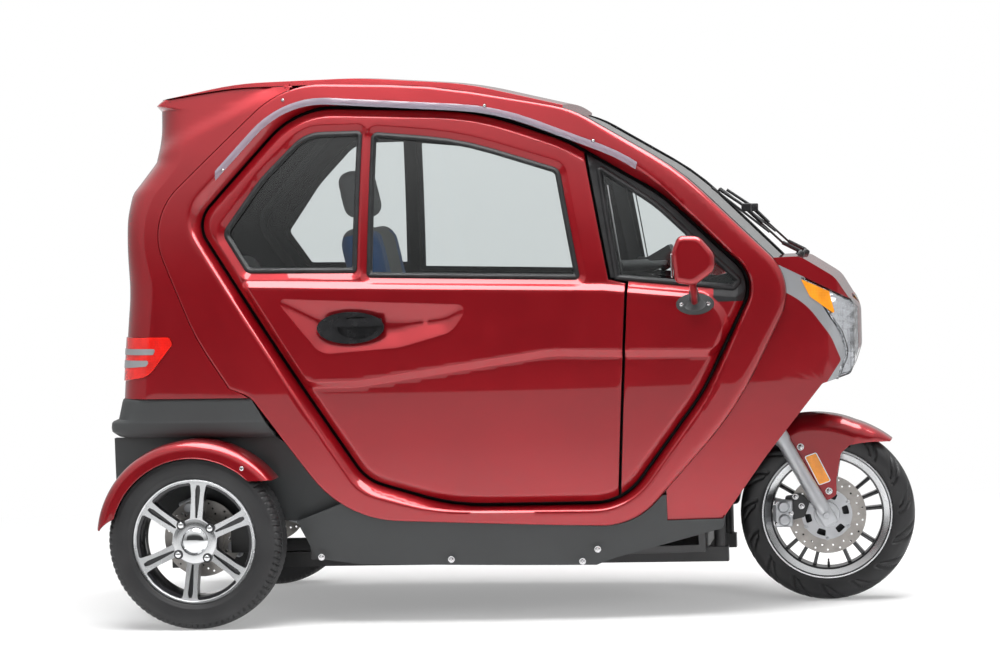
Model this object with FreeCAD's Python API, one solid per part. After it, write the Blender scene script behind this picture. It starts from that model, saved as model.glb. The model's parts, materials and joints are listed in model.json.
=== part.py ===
import FreeCAD, Part
import math
import os
from FreeCAD import Vector

# A small enclosed electric tricycle: one steered front wheel, two driven rear wheels and a closed cabin.
# Working frame, in millimetres: X forward from the rear axle, Y to the left, Z up from the ground.
# keep() moves each finished piece so that the origin lies on the ground under the middle of the car.

# ------------------------------------------------------------------ stance and wheels
WHEELBASE = 1658.0
DRAWN_WHEELBASE = 1658.0       # the wheelbase that the side outlines are drawn for
STRETCH = WHEELBASE / DRAWN_WHEELBASE
TRACK = 980.0
REAR_TYRE_R = 236.5
REAR_TYRE_W = 120.0
REAR_RIM_R = 167.5
FRONT_TYRE_R = 238.6
FRONT_TYRE_W = 110.0
FRONT_RIM_R = 178.0
RIM_WALL = 8.0
RIM_SHARE = 0.82               # rim width as a share of the tyre width
HUB_R = 48.0
REAR_SPOKES = 6
REAR_SPOKE_W = 46.0
REAR_SPOKE_T = 20.0
FRONT_SPOKES = 10
FRONT_SPOKE_W = 16.0
FRONT_SPOKE_T = 14.0
FIRST_SPOKE = 90.0             # degrees from straight ahead
AXLE_R = 12.0
PIN_CLEARANCE = 0.3
REAR_DISC_R = 105.0
FRONT_DISC_R = 110.0
DISC_T = 5.0

# ------------------------------------------------------------------ body side surface
BODY_HALF_WIDTH = 472.0        # door face at its widest point
WIDEST_X = 550.0 * STRETCH
WIDEST_Z = 620.0
PLAN_RADIUS = 4300.0           # bulge of the sides seen from above
SECTION_RADIUS = 2600.0        # bulge of the sides seen from the front
SWEEP_REACH = 1500.0           # how far the side surface runs fore and aft of its widest point
CORE_DEPTH = 600.0
SKY_Z = 1700.0
PIT_Z = -50.0
CORE_REAR_X = -400.0
CORE_FRONT_X = 1950.0
CORE_LOW_Z = -20.0
CORE_HIGH_Z = 1600.0

# depths from the door face, outward positive
RING_PROUD = 22.0
RING_INNER = -45.0
LEDGE_DEPTH = -14.0
FLANGE_DEPTH = -22.0
DOOR_THICKNESS = 40.0
PANEL_WALL = 40.0
MOULDING_PROUD = 14.0
SCOOP_FLOOR = -6.0
GLASS_DEPTH = -14.0
GLASS_T = 5.0
SILL_PROUD = 12.0
BUMPER_PROUD = 28.0
LOWER_DEPTH = -20.0
LOWER_WALL = 25.0

# gaps
DOOR_GAP = 8.0
SHUT_GAP = 6.0
SEAT_GAP = 0.3
PANEL_GAP = 0.4
LID_GAP = 6.0
CABIN_DEPTH = RING_INNER - SEAT_GAP



# ------------------------------------------------------------------ outlines: (x, z, corner radius)
def stretched(corners):
    """A side outline fitted to the wheelbase in use."""
    return [(x * STRETCH, z, radius) for x, z, radius in corners]


RING_OUTER = stretched([
    (240, 1450, 260), (640, 1432, 1500), (1018, 1358, 300), (1303, 1187, 700), (1606, 884, 140),
    (1440, 553, 900), (1165, 248, 190), (395, 283, 300), (150, 615, 80), (92, 636, 0), (0, 775, 600),
    (-140, 1095, 170)])
RING_FACE_INNER = stretched([
    (-41, 1103, 90), (244, 1407, 250), (822, 1361, 700), (1190, 1213, 500), (1506, 893, 100),
    (1366, 585, 400), (1155, 294, 190), (620, 302, 600), (438, 355, 120)])
APERTURE = stretched([
    (-2, 1083, 70), (275, 1383, 230), (760, 1359, 700), (995, 1274, 300), (1249, 1122, 500),
    (1490, 890, 90), (1348, 600, 500), (1134, 316, 150), (690, 318, 600), (458, 388, 120)])
# the door takes everything behind this line, the fixed front panel everything ahead of it
DOOR_REGION = stretched([
    (-200, 100, 0), (1121, 100, 0), (1124, 330, 0), (1157, 891, 5), (1112, 903, 5), (1046, 1262, 0),
    (1030, 1600, 0), (-200, 1600, 0)])
REAR_WINDOW = stretched([
    (70, 1052, 30), (175, 1196, 300), (297, 1317, 110), (455, 1317, 15), (443, 938, 12), (140, 944, 25)])
MAIN_WINDOW = stretched([
    (480, 1313, 18), (720, 1287, 900), (985, 1199, 30), (1038, 905, 12), (470, 925, 12)])
QUARTER_WINDOW = stretched([
    (1080, 1213, 10), (1243, 1103, 400), (1462, 890, 15), (1440, 866, 10), (1128, 902, 6)])
DOOR_MOULDING = stretched([
    (116, 924, 14), (1100, 892, 0), (1100, 700, 0), (960, 706, 300), (440, 634, 300), (300, 634, 60)])
DOOR_MOULDING_END = stretched([(1060, 893.3, 0), (1152, 890.4, 0), (1141, 699, 0), (1060, 701.8, 0)])
PANEL_MOULDING = stretched([
    (1165, 884, 4), (1370, 862, 40), (1440, 780, 45), (1392, 690, 40), (1153, 697, 4)])
HANDLE_SCOOP = stretched([
    (222, 874, 12), (748, 846, 18), (700, 776, 60), (560, 738, 150), (345, 724, 60)])
HANDLE_CENTRE = (428.0 * STRETCH, 793.0)
HANDLE_HALF = (91.0, 42.0)
HANDLE_DISH = {"x": HANDLE_CENTRE[0] + 18.0, "half": (53.0, 30.0), "floor": 4.0}
HANDLE_PROUD = 14.0
LEVER = {"half": 68.0, "low": 4.0, "high": 24.0, "radius": 6.0, "floor": 10.0, "proud": 18.0}
VISOR = {"outer": 9.0, "inner": -5.0, "t": 3.0}
VISOR_SPAN = stretched([(60, 1190, 0), (1195, 1190, 0), (1195, 1500, 0), (60, 1500, 0)])
SEAM_LINE = stretched([
    (-170, 1412, 0), (100, 1444, 900), (300, 1444, 500), (640, 1432, 1500), (1018, 1358, 300),
    (1303, 1187, 700), (1545, 945, 0)])
SEAM_LINE_CLOSED = SEAM_LINE + stretched([(1545, 200, 0), (-170, 200, 0)])
ROOF_CROWN = stretched([
    (-112, 1426, 0), (110, 1465, 900), (440, 1469, 1200), (738, 1444, 900), (996, 1379, 0)])
ROOF_BOX_Z = 1200.0
ROOF_DEPTH = 15.0
ROOF_LINER_T = 20.0
CROWN_RADIUS = 6000.0
CROWN_HALF_SPAN = 420.0
WINDSHIELD_SET = 3.0
WINDSHIELD_DEPTH = -6.0
WINDSHIELD_TOP_X = 998.0 * STRETCH
WINDSHIELD_FRONT_X = 1540.0 * STRETCH
WINDSHIELD_LOW_Z = 900.0
BUMPER_TOP_Z = 612.0
REAR_BOTTOM_Z = BUMPER_TOP_Z + SEAT_GAP
REAR_BODY_FRONT_X = 270.0
REAR_FACE = [(-228, REAR_BOTTOM_Z, 0), (-206, 880, 400), (-209, 1100, 200), (-199, 1166, 25),
             (-133, 1250, 14), (-124, 1330, 200)]
REAR_PROFILE = [(REAR_BODY_FRONT_X, REAR_BOTTOM_Z, 0)] + REAR_FACE + [
    (-128, 1402, 8), (-108, 1419, 12), (100, 1444, 900), (REAR_BODY_FRONT_X, 1443.5, 0)]
REAR_CEILING = [(-84, 1380, 20), (100, 1404, 0), (400, 1404, 0)]
REAR_SPACE = {"front_x": 400.0, "low_z": 500.0}
BUMPER_PROFILE = [(-230, BUMPER_TOP_Z, 8), (-264, 562, 12), (-265, 520, 10), (-244, 506, 4), (232, 506, 0),
                  (170, BUMPER_TOP_Z, 0)]
LOWER_PROFILE = [(-253, 504, 0), (-255, 320, 40), (-150, 296, 40), (262, 276, 0), (330, 200, 0),
                 (520, 200, 0), (520, 300, 0), (210, 504, 0)]
SILL_PROFILE = stretched([
    (262, 278, 0), (312, 176, 15), (430, 160, 15), (1060, 147, 10), (1112, 166, 10), (1393, 236, 10),
    (1402, 276, 0), (1300, 330, 0), (400, 330, 0)])
NOSE_PROFILE = stretched([
    (1440, 1000, 0), (1542, 948, 0), (1612, 950, 60), (1702, 893, 70), (1762, 800, 50), (1762, 700, 60),
    (1738, 634, 15), (1664, 612, 15), (1515, 428, 500), (1395, 262, 0), (1250, 262, 0), (1250, 1000, 0)])
NOSE_PLAN = stretched([(1100, -482, 0), (1742, -306, 110), (1768, 0, 1500), (1742, 306, 110), (1100, 482, 0)])
WHEEL_MOUTH = stretched([(1225, 150, 0), (1400, 150, 0), (1690, 585, 0), (1640, 640, 0), (1225, 640, 0)])
HOOD_REGION = stretched([
    (1440, 990, 0), (1530, 942, 0), (1760, 824, 0), (1850, 824, 0), (1850, 1100, 0), (1440, 1100, 0)])
FASCIA_REGION = stretched([
    (1200, 200, 0), (1700, 200, 0), (1670, 606, 0), (1714, 672, 12), (1690, 735, 150), (1625, 826, 200),
    (1552, 868, 0), (1200, 868, 0)])
LAMP_REGION = stretched([
    (1614, 893, 0), (1660, 830, 200), (1712, 745, 100), (1726, 690, 60), (1690, 600, 0), (1850, 590, 0),
    (1850, 900, 0)])
# the painted bridge between the two headlamps
NOSE_BRIDGE = {"y": 130.0, "z": 700.0, "rear_x": 1600.0 * STRETCH, "front_x": 1900.0 * STRETCH, "low_z": 500.0}
NOSE_BACK = {"rear_x": 1200.0 * STRETCH, "front_x": 1420.0 * STRETCH, "low_z": 200.0, "high_z": 1100.0}
NOSE_DEPTH = 4.0
NOSE_WALL = 18.0
TAIL_LAMP = [(-260, 778, 0), (-74, 778, 8), (-64, 758, 10), (-136, 672, 60), (-260, 655, 0)]
TAIL_LAMP_REACH_Y = 290.0
LAMP_PROUD = 5.0
LAMP_DEPTH = 18.0
CREASE = [(-160, 1238, 0), (-119, 1262, 0), (8, 1325, 0), (182, 1405, 0), (262, 1436, 0), (262, 1500, 0),
          (-160, 1500, 0)]
CREASE_STEP = 12.0
BOOT = {"half_width": 265.0, "low": 690.0, "high": 1078.0, "radius": 30.0, "front_x": -100.0}
LID_HINGE = {"x": -212.0, "z": BOOT["high"] + 2.0, "r": 6.0, "y": 120.0, "length": 40.0, "leaf": 28.0,
             "clearance": 1.0}
REAR_GLASS = {"half_width": 235.0, "low": 1205.0, "high": 1375.0, "radius": 30.0}
REAR_PANE = [(-112, 1190, 0), (-106, 1190, 0), (-98, 1390, 0), (-104, 1390, 0)]
RAIL = {"y": 170.0, "w": 40.0, "h": 40.0, "z": 127.0, "rear_x": -150.0, "front_x": WHEELBASE - 263.0}
CROSS_MEMBERS_X = (-130.0, 420.0, 860.0, 1270.0 * STRETCH)
FLOOR_T = 20.0
FLOOR_Z = RAIL["z"] + RAIL["h"] + SEAT_GAP
BENCH_FLOOR_Z = 472.0
FLOOR_STEP_X = 282.0
FLOOR_REAR_X = -190.0
BULKHEAD_X = WHEELBASE - 315.0
BULKHEAD_T = 18.0
BULKHEAD_INNER_X = BULKHEAD_X - BULKHEAD_T
# the shelf over the front wheel, which carries the headlamps' backs
SHELF = {"x": WHEELBASE - 18.0, "z": 655.0, "back_z": 640.0, "t": 17.0}
FLOOR = [(FLOOR_REAR_X, BENCH_FLOOR_Z + FLOOR_T, 0), (FLOOR_REAR_X, BENCH_FLOOR_Z, 0),
         (FLOOR_STEP_X, BENCH_FLOOR_Z, 0), (FLOOR_STEP_X, FLOOR_Z, 0), (BULKHEAD_X, FLOOR_Z, 0),
         (BULKHEAD_X, SHELF["back_z"], 0), (SHELF["x"], SHELF["z"], 0),
         (SHELF["x"], SHELF["z"] + SHELF["t"], 0),
         (BULKHEAD_INNER_X, SHELF["back_z"] + SHELF["t"], 0), (BULKHEAD_INNER_X, FLOOR_Z + FLOOR_T, 0),
         (FLOOR_STEP_X + FLOOR_T, FLOOR_Z + FLOOR_T, 0), (FLOOR_STEP_X + FLOOR_T, BENCH_FLOOR_Z + FLOOR_T, 0)]
# the dashboard's section, ahead of its back face on the bulkhead
DASH_X = BULKHEAD_INNER_X - SEAT_GAP
DASH = [(0, 560, 0), (-36.7, 600, 20), (-48.7, 760, 40), (5.3, 885, 30), (175.3, 932, 0), (175.3, 908, 0),
        (23.3, 860, 20), (-22.7, 755, 30), (-12.7, 612, 10), (0, 592, 0)]
COLUMN_CLEARANCE = {"floor": 6.0, "dash": 10.0, "low": 200.0, "high": 900.0}

# ------------------------------------------------------------------ hinges, steering, running gear
HINGE_BRACKET = {"x0": 1100.0 * STRETCH, "x1": 1205.0 * STRETCH, "pad_x": 1168.0 * STRETCH, "h": 60.0,
                 "z": (450.0, 780.0), "pad": 2.0}
RAKE = math.radians(29.0)
FORK_OFFSET = 35.0
FORK_LEG_Y = 95.0
FORK_LEG_R = 18.0
FORK_SLIDER_R = 23.0
CROWN_AT = 330.0               # distances along the steering axis from beside the front axle
CROWN_T = 26.0
CROWN_EDGE = 26.0
CROWN_HALF = FORK_LEG_Y + 24.0
LEG_FOOT = -24.0
SLIDER = (-34.0, 120.0)
HEAD_TUBE = (362.0, 500.0)
HEAD_TUBE_R = 27.0
HEAD_BORE_EXTRA = 30.0
STEM_R = 15.0
STEM_TOP = 800.0
BAR_R = 11.0
GRIP_R = 16.0
CLAMP_H = 26.0
CLAMP_WALL = 8.0
BAR_LIFT = 15.0
BAR_POINTS = [(0.0, 0.0), (0.0, 110.0), (-78.0, 255.0)]
GRIP_END = (-104.0, 305.0)
GRIP_START = 0.38              # share of the way from the bend to the tip of the grip
POD = {"rear": -40.0, "front": 34.0, "half": 62.0, "low": 14.0, "high": 56.0}
FENDER = {"r": 262.0, "wall": 4.0, "half_width": FORK_LEG_Y - FORK_SLIDER_R - SEAT_GAP, "cheek": 30.0,
          "front": 46.0, "rear": 150.0}
# from the front axle
FENDER_TAB = [(-98, 231.4, 30), (-18, 231.4, 30), (18, 91.4, 14), (4, 29.4, 12), (-24, 51.4, 10)]
MUDGUARD = {"x": 8.0, "z": 250.0, "r": 270.0, "wall": 4.0, "lip_r": 222.0, "outer_y": 560.0,
            "front": 33.0, "rear": 175.0}
MUDGUARD_INNER_Y = 300.0
BUMPER_ARCH = 3.0
BUMPER_HOLLOW = {"wall": 8.0, "front_x": 400.0, "low_z": 400.0, "high_z": 700.0}
POST = {"x": WHEELBASE - 286.0, "knee_z": 540.0, "r": 16.0, "top": 450.0}
TOW_EYE = {"x": -185.0, "r": 28.0, "t": 14.0, "hole_r": 14.0}
PLATE_HOLES = {"y": 90.0, "z": 541.0, "r": 3.5}
AXLE_TUBE_R = 30.0
AXLE_TUBE_END = 372.0
STUB_EXTRA = 20.0
MOTOR = {"x": 190.0, "y": 170.0, "z": 180.0, "offset": 60.0}
SPRING = {"y": 285.0, "r": 32.0}
CALIPER = {"r": 82.0, "x": 60.0, "z": 80.0, "wall": 14.0, "slot": 15.0, "disc_gap": 6.0}
CALIPER_ARM = {"inset": 22.0, "half_t": 5.0, "half_h": 25.0, "reach": 40.0}
CALIPER_SLEEVE = {"length": 40.0, "r": 34.0}
HUB_INNER = 55.0               # how far the hub stands inboard of the wheel's centre plane
SPOKE_INSET = 6.0
HUB_INSET = 4.0
REAR_BORE = {"from": -22.0, "length": 200.0}
FRONT_HUB_END = 50.0
FRONT_DISC_Y = -58.0
FRONT_CALIPER = {"rear": 132.0, "front": 70.0, "inner": -24.0, "outer": 20.0, "half_h": 32.0}
FRONT_BRACKET = {"rear": 120.0, "inner": -24.0, "outer": -14.0, "half_h": 16.0}

# ------------------------------------------------------------------ cabin
SEAT_BASE = {"x0": 405.0, "x1": 880.0, "half": 215.0, "z0": 500.0, "z1": 592.0}
SEAT_BACK = [(352, 560, 20), (440, 560, 20), (440, 900, 60), (422, 1035, 25), (352, 1035, 25), (340, 800, 60)]
SEAT_BACK_HALF = 190.0
HEADREST = [(392, 1080, 20), (452, 1080, 20), (466, 1150, 30), (452, 1218, 25), (404, 1218, 25),
            (388, 1150, 30)]
HEADREST_HALF = 110.0
HEADREST_POST = {"y": 60.0, "foot": (410.0, 1020.0), "top": (424.0, 1095.0), "r": 6.0}
SEAT_EDGE_R = 30.0
BATTERY = {"x0": 455.0, "x1": 860.0, "half": 195.0}
BENCH_CUSHION = [(20, 492.3, 10), (282, 492.3, 10), (296, 590, 30), (20, 575, 20)]
BENCH_BACK = [(-60, 492.3, 10), (22, 492.3, 0), (-16, 1010, 25), (-72, 1010, 20)]
BENCH_HALF = 290.0

MIRROR = {"x": 1325.0 * STRETCH, "y": 520.0, "z": 948.0}
MIRROR_HALF = (52.0, 30.0, 62.0)
MIRROR_EDGE_R = 22.0
MIRROR_BASE = (1338.0 * STRETCH, 832.0)
MIRROR_BASE_HALF = (50.0, 29.0)
MIRROR_BASE_T = 14.0
MIRROR_STEM = {"r": 11.0, "foot": 9.0, "x": 4.0, "y": 6.0, "z": 6.0}
WIPER = {"x": 1508.0 * STRETCH, "z": 982.0, "set": 8.0, "arm": 210.0, "arm_r": 4.0, "lean": -0.25,
         "turn": 3.0, "blade": 150.0, "blade_r": 5.0, "joint_r": 6.0, "base_r": 12.0, "base_t": 20.0,
         "base_set": 10.5}
WIPER_ROOTS_Y = (-110.0, 150.0)

TAIL_X = -265.0
NOSE_X = WHEELBASE + FRONT_TYRE_R
CENTRE_X = (TAIL_X + NOSE_X) / 2
ACROSS = 700.0                 # safely past the widest point on either side

os.makedirs("parts", exist_ok=True)
AXLE_F = Vector(WHEELBASE, 0, FRONT_TYRE_R)
STEER_UP = Vector(-math.sin(RAKE), 0, math.cos(RAKE))
STEER_FWD = Vector(math.cos(RAKE), 0, math.sin(RAKE))
STEER_BASE = AXLE_F - STEER_FWD * FORK_OFFSET


# ------------------------------------------------------------------ drawing helpers
def unit(u, v):
    length = math.hypot(u, v)
    return u / length, v / length


def grown(corners, distance):
    """Move every edge of a closed outline outward by distance, keeping the corner arcs concentric."""
    count = len(corners)
    area = sum(corners[i][0] * corners[(i + 1) % count][1] - corners[(i + 1) % count][0] * corners[i][1]
               for i in range(count))
    turn = 1.0 if area > 0 else -1.0
    result = []
    for i in range(count):
        before, here, after = corners[i - 1], corners[i], corners[(i + 1) % count]
        ax, ay = unit(here[0] - before[0], here[1] - before[1])
        bx, by = unit(after[0] - here[0], after[1] - here[1])
        cross = ax * by - ay * bx
        nax, nay = ay * turn * distance, -ax * turn * distance
        nbx, nby = by * turn * distance, -bx * turn * distance
        if abs(cross) < 1e-6:
            x, y = here[0] + nax, here[1] + nay
        else:
            step = ((nbx - nax) * by - (nby - nay) * bx) / cross
            x, y = here[0] + nax + ax * step, here[1] + nay + ay * step
        convex = cross * turn > 0
        radius = here[2] + (distance if convex else -distance) if here[2] > 0 else 0
        result.append((x, y, max(radius, 0)))
    return result


def outline(corners, place):
    """Closed wire of lines and arcs; place turns (u, v) into a point."""
    count = len(corners)
    ends = []
    for i in range(count):
        before, here, after = corners[i - 1], corners[i], corners[(i + 1) % count]
        u, v, radius = here
        ax, ay = unit(before[0] - u, before[1] - v)
        bx, by = unit(after[0] - u, after[1] - v)
        half = math.acos(max(-1.0, min(1.0, ax * bx + ay * by))) / 2
        if radius <= 0 or abs(half - math.pi / 2) < 1e-4:
            ends.append((place(u, v), None, place(u, v)))
            continue
        reach = radius / math.tan(half)
        mx, my = unit(ax + bx, ay + by)
        inset = radius / math.sin(half) - radius
        ends.append((place(u + ax * reach, v + ay * reach), place(u + mx * inset, v + my * inset),
                     place(u + bx * reach, v + by * reach)))
    edges = []
    for i in range(count):
        start, middle, stop = ends[i]
        if middle is not None:
            edges.append(Part.Arc(start, middle, stop).toShape())
        following = ends[(i + 1) % count][0]
        if stop.distanceToPoint(following) > 1e-6:
            edges.append(Part.LineSegment(stop, following).toShape())
    return Part.Wire(edges)


def side_prism(corners, low_y=-ACROSS, high_y=ACROSS):
    wire = outline(corners, lambda x, z: Vector(x, low_y, z))
    return Part.Face(wire).extrude(Vector(0, high_y - low_y, 0))


def plan_prism(corners, low_z=PIT_Z, high_z=SKY_Z):
    wire = outline(corners, lambda x, y: Vector(x, y, low_z))
    return Part.Face(wire).extrude(Vector(0, 0, high_z - low_z))


def rear_prism(half_width, low, high, radius, front_x):
    corners = [(-half_width, low, radius), (half_width, low, radius),
               (half_width, high, radius), (-half_width, high, radius)]
    wire = outline(corners, lambda y, z: Vector(-ACROSS, y, z))
    return Part.Face(wire).extrude(Vector(ACROSS + front_x, 0, 0))


def box(x0, x1, y0, y1, z0, z1):
    return Part.makeBox(x1 - x0, y1 - y0, z1 - z0, Vector(x0, y0, z0))


def rod(start, stop, radius):
    return Part.makeCylinder(radius, start.distanceToPoint(stop), start, stop - start)


def mirrored(shape):
    return shape.mirror(Vector(0, 0, 0), Vector(0, 1, 0))


def side_arc_y(depth, z):
    centre = SECTION_RADIUS - BODY_HALF_WIDTH
    return centre - math.sqrt((SECTION_RADIUS + depth) ** 2 - (z - WIDEST_Z) ** 2)


def side_arc(depth):
    points = [Vector(WIDEST_X, side_arc_y(depth, z), z) for z in (PIT_Z, (PIT_Z + SKY_Z) / 2, SKY_Z)]
    return Part.Arc(*points).toShape(), points[0], points[2]


def face_y(x, z, depth):
    """Right-hand side surface at one depth."""
    reach = PLAN_RADIUS - BODY_HALF_WIDTH - side_arc_y(depth, z)
    return PLAN_RADIUS - BODY_HALF_WIDTH - math.sqrt(reach ** 2 - (x - WIDEST_X) ** 2)


def swept_side(edges):
    """Turn a section in the widest plane about the far upright axis that gives the sides their bulge."""
    axis = Vector(WIDEST_X, PLAN_RADIUS - BODY_HALF_WIDTH, 0)
    half_angle = math.degrees(math.asin(SWEEP_REACH / PLAN_RADIUS))
    face = Part.Face(Part.Wire(edges))
    face.rotate(axis, Vector(0, 0, 1), -half_angle)
    return face.revolve(axis, Vector(0, 0, 1), 2 * half_angle)


def layer(outer, inner):
    """Right-hand side skin between two depths."""
    outer_arc, outer_low, outer_high = side_arc(outer)
    inner_arc, inner_low, inner_high = side_arc(inner)
    return swept_side([outer_arc, Part.LineSegment(outer_high, inner_high).toShape(), inner_arc,
                       Part.LineSegment(inner_low, outer_low).toShape()])


def right_core(depth):
    arc, low, high = side_arc(depth)
    far_low = Vector(WIDEST_X, CORE_DEPTH, PIT_Z)
    far_high = Vector(WIDEST_X, CORE_DEPTH, SKY_Z)
    return swept_side([arc, Part.LineSegment(high, far_high).toShape(),
                       Part.LineSegment(far_high, far_low).toShape(), Part.LineSegment(far_low, low).toShape()])


def core(depth):
    """Everything between the two side surfaces at one depth."""
    half = right_core(depth)
    slab = box(CORE_REAR_X, CORE_FRONT_X, -CORE_DEPTH, CORE_DEPTH, CORE_LOW_Z, CORE_HIGH_Z)
    return slab.common(half).common(mirrored(half))


def keep(name, shape):
    moved = shape.copy()
    moved.translate(Vector(-CENTRE_X, 0, 0))
    moved.exportStep("parts/" + name + ".step")


def keep_pair(name, right):
    keep(name + "_right", right)
    keep(name + "_left", mirrored(right))


def both(right):
    return Part.makeCompound([right, mirrored(right)])


def on_steering(distance, forward=0.0, side=0.0):
    return STEER_BASE + STEER_UP * distance + STEER_FWD * forward + Vector(0, side, 0)


# ------------------------------------------------------------------ sides: ring, door, front panel
def side_ring():
    hoop = side_prism(RING_OUTER, -ACROSS, 0).cut(side_prism(grown(APERTURE, DOOR_GAP)))
    ring = hoop.common(layer(RING_PROUD, RING_INNER))
    ledge = side_prism(RING_FACE_INNER).common(layer(RING_PROUD * 2, LEDGE_DEPTH))
    ring = ring.cut(ledge)
    under_glass = grown(SEAM_LINE_CLOSED, -WINDSHIELD_SET - GLASS_T - SEAT_GAP)
    above = box(WINDSHIELD_TOP_X, CORE_FRONT_X, -ACROSS, 0, WINDSHIELD_LOW_Z / 2, SKY_Z)
    above = above.cut(side_prism(under_glass))
    return ring.cut(above.common(right_core(WINDSHIELD_DEPTH + GLASS_T * SEAT_GAP)))


def door():
    face = side_prism(APERTURE, -ACROSS, 0).common(side_prism(DOOR_REGION))
    body = face.common(layer(0, -DOOR_THICKNESS))
    moulding = side_prism(DOOR_MOULDING, -ACROSS, 0).common(layer(MOULDING_PROUD, -1))
    moulding_end = side_prism(DOOR_MOULDING_END, -ACROSS, 0).common(layer(MOULDING_PROUD, -1))
    body = body.fuse([moulding.fuse(moulding_end).common(face)])
    for window in (REAR_WINDOW, MAIN_WINDOW):
        body = body.cut(side_prism(window))
    scoop = side_prism(HANDLE_SCOOP, -ACROSS, 0).common(layer(MOULDING_PROUD * 2, SCOOP_FLOOR))
    return body.cut(scoop).removeSplitter()


def door_glass():
    skin = layer(GLASS_DEPTH, GLASS_DEPTH - GLASS_T)
    return Part.makeCompound([side_prism(grown(window, -SEAT_GAP), -ACROSS, 0).common(skin)
                              for window in (REAR_WINDOW, MAIN_WINDOW)])


def oval_prism(centre, half):
    middle = Vector(centre[0], -ACROSS, centre[1])
    ellipse = Part.Ellipse(middle + Vector(half[0], 0, 0), middle + Vector(0, 0, half[1]), middle)
    return Part.Face(Part.Wire(ellipse.toShape())).extrude(Vector(0, ACROSS, 0))


def door_handle():
    top = SCOOP_FLOOR + HANDLE_PROUD
    plate = oval_prism(HANDLE_CENTRE, HANDLE_HALF).common(layer(top, SCOOP_FLOOR + SEAT_GAP))
    dish = oval_prism((HANDLE_DISH["x"], HANDLE_CENTRE[1]), HANDLE_DISH["half"])
    plate = plate.cut(dish.common(layer(2 * HANDLE_PROUD, SCOOP_FLOOR + HANDLE_DISH["floor"])))
    rear, front = HANDLE_DISH["x"] - LEVER["half"], HANDLE_DISH["x"] + LEVER["half"]
    low, high = HANDLE_CENTRE[1] + LEVER["low"], HANDLE_CENTRE[1] + LEVER["high"]
    grip = [(rear, low, LEVER["radius"]), (front, low, LEVER["radius"]), (front, high, LEVER["radius"]),
            (rear, high, LEVER["radius"])]
    lever = side_prism(grip, -ACROSS, 0)
    return plate.fuse(lever.common(layer(SCOOP_FLOOR + LEVER["proud"], SCOOP_FLOOR + LEVER["floor"])))


def front_panel():
    face = side_prism(APERTURE, -ACROSS, 0).cut(side_prism(grown(DOOR_REGION, SHUT_GAP)))
    body = face.common(layer(0, -PANEL_WALL))
    moulding = side_prism(PANEL_MOULDING, -ACROSS, 0).common(face).common(layer(MOULDING_PROUD, -1))
    edge = side_prism(grown(APERTURE, DOOR_GAP - SEAT_GAP), -ACROSS, 0)
    edge = edge.cut(side_prism(grown(DOOR_REGION, SHUT_GAP)))
    flange = edge.common(layer(FLANGE_DEPTH, -PANEL_WALL))
    body = body.fuse([moulding, flange]).cut(side_prism(QUARTER_WINDOW))
    for z in HINGE_BRACKET["z"]:
        low, high = z - HINGE_BRACKET["h"] / 2, z + HINGE_BRACKET["h"] / 2
        leaf = box(HINGE_BRACKET["x0"], HINGE_BRACKET["x1"], -ACROSS, 0, low, high)
        pad = box(HINGE_BRACKET["pad_x"], HINGE_BRACKET["x1"], -ACROSS, 0, low, high)
        body = body.fuse([leaf.common(layer(-DOOR_THICKNESS - SEAT_GAP, RING_INNER)),
                          pad.common(layer(-PANEL_WALL + HINGE_BRACKET["pad"], RING_INNER))])
    return body.removeSplitter()


def quarter_pane():
    skin = layer(GLASS_DEPTH, GLASS_DEPTH - GLASS_T)
    return side_prism(grown(QUARTER_WINDOW, -SEAT_GAP), -ACROSS, 0).common(skin)


def rain_visor():
    strip = side_prism(grown(RING_FACE_INNER, VISOR["outer"]), -ACROSS, 0)
    strip = strip.cut(side_prism(grown(RING_FACE_INNER, VISOR["inner"]))).common(side_prism(VISOR_SPAN))
    return strip.common(layer(RING_PROUD + VISOR["t"], RING_PROUD + SEAT_GAP))


# ------------------------------------------------------------------ roof and glass
def crowned(corners):
    """Side profile carried across on a shallow arch."""
    sections = []
    for share in (-1, -0.5, 0, 0.5, 1):
        y = share * CROWN_HALF_SPAN
        drop = y * y / (2 * CROWN_RADIUS)
        sections.append(outline(corners, lambda x, z: Vector(x, y, z - drop)))
    return Part.makeLoft(sections, True, False)


def roof_panel():
    rear_x, front_x = ROOF_CROWN[0][0], ROOF_CROWN[-1][0]
    crown = crowned(ROOF_CROWN + [(front_x, ROOF_BOX_Z, 0), (rear_x, ROOF_BOX_Z, 0)])
    seat = side_prism(grown(SEAM_LINE_CLOSED, SEAT_GAP))
    skin = crown.cut(seat).cut(side_prism(grown(RING_OUTER, SEAT_GAP))).common(core(ROOF_DEPTH))
    liner = seat.cut(side_prism(grown(SEAM_LINE_CLOSED, -ROOF_LINER_T))).common(core(CABIN_DEPTH))
    liner = liner.common(box(REAR_BODY_FRONT_X + PANEL_GAP, front_x, -ACROSS, ACROSS, ROOF_BOX_Z, SKY_Z))
    return skin.fuse(liner).removeSplitter()


def windshield():
    outer = side_prism(grown(SEAM_LINE_CLOSED, -WINDSHIELD_SET))
    inner = side_prism(grown(SEAM_LINE_CLOSED, -WINDSHIELD_SET - GLASS_T))
    span = box(WINDSHIELD_TOP_X + PANEL_GAP, WINDSHIELD_FRONT_X, -ACROSS, ACROSS, WINDSHIELD_LOW_Z, SKY_Z)
    return outer.cut(inner).common(span).common(core(WINDSHIELD_DEPTH))


# ------------------------------------------------------------------ rear
def rear_solid(offset):
    return side_prism(grown(REAR_PROFILE, offset)).common(core(RING_PROUD + offset))


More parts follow.
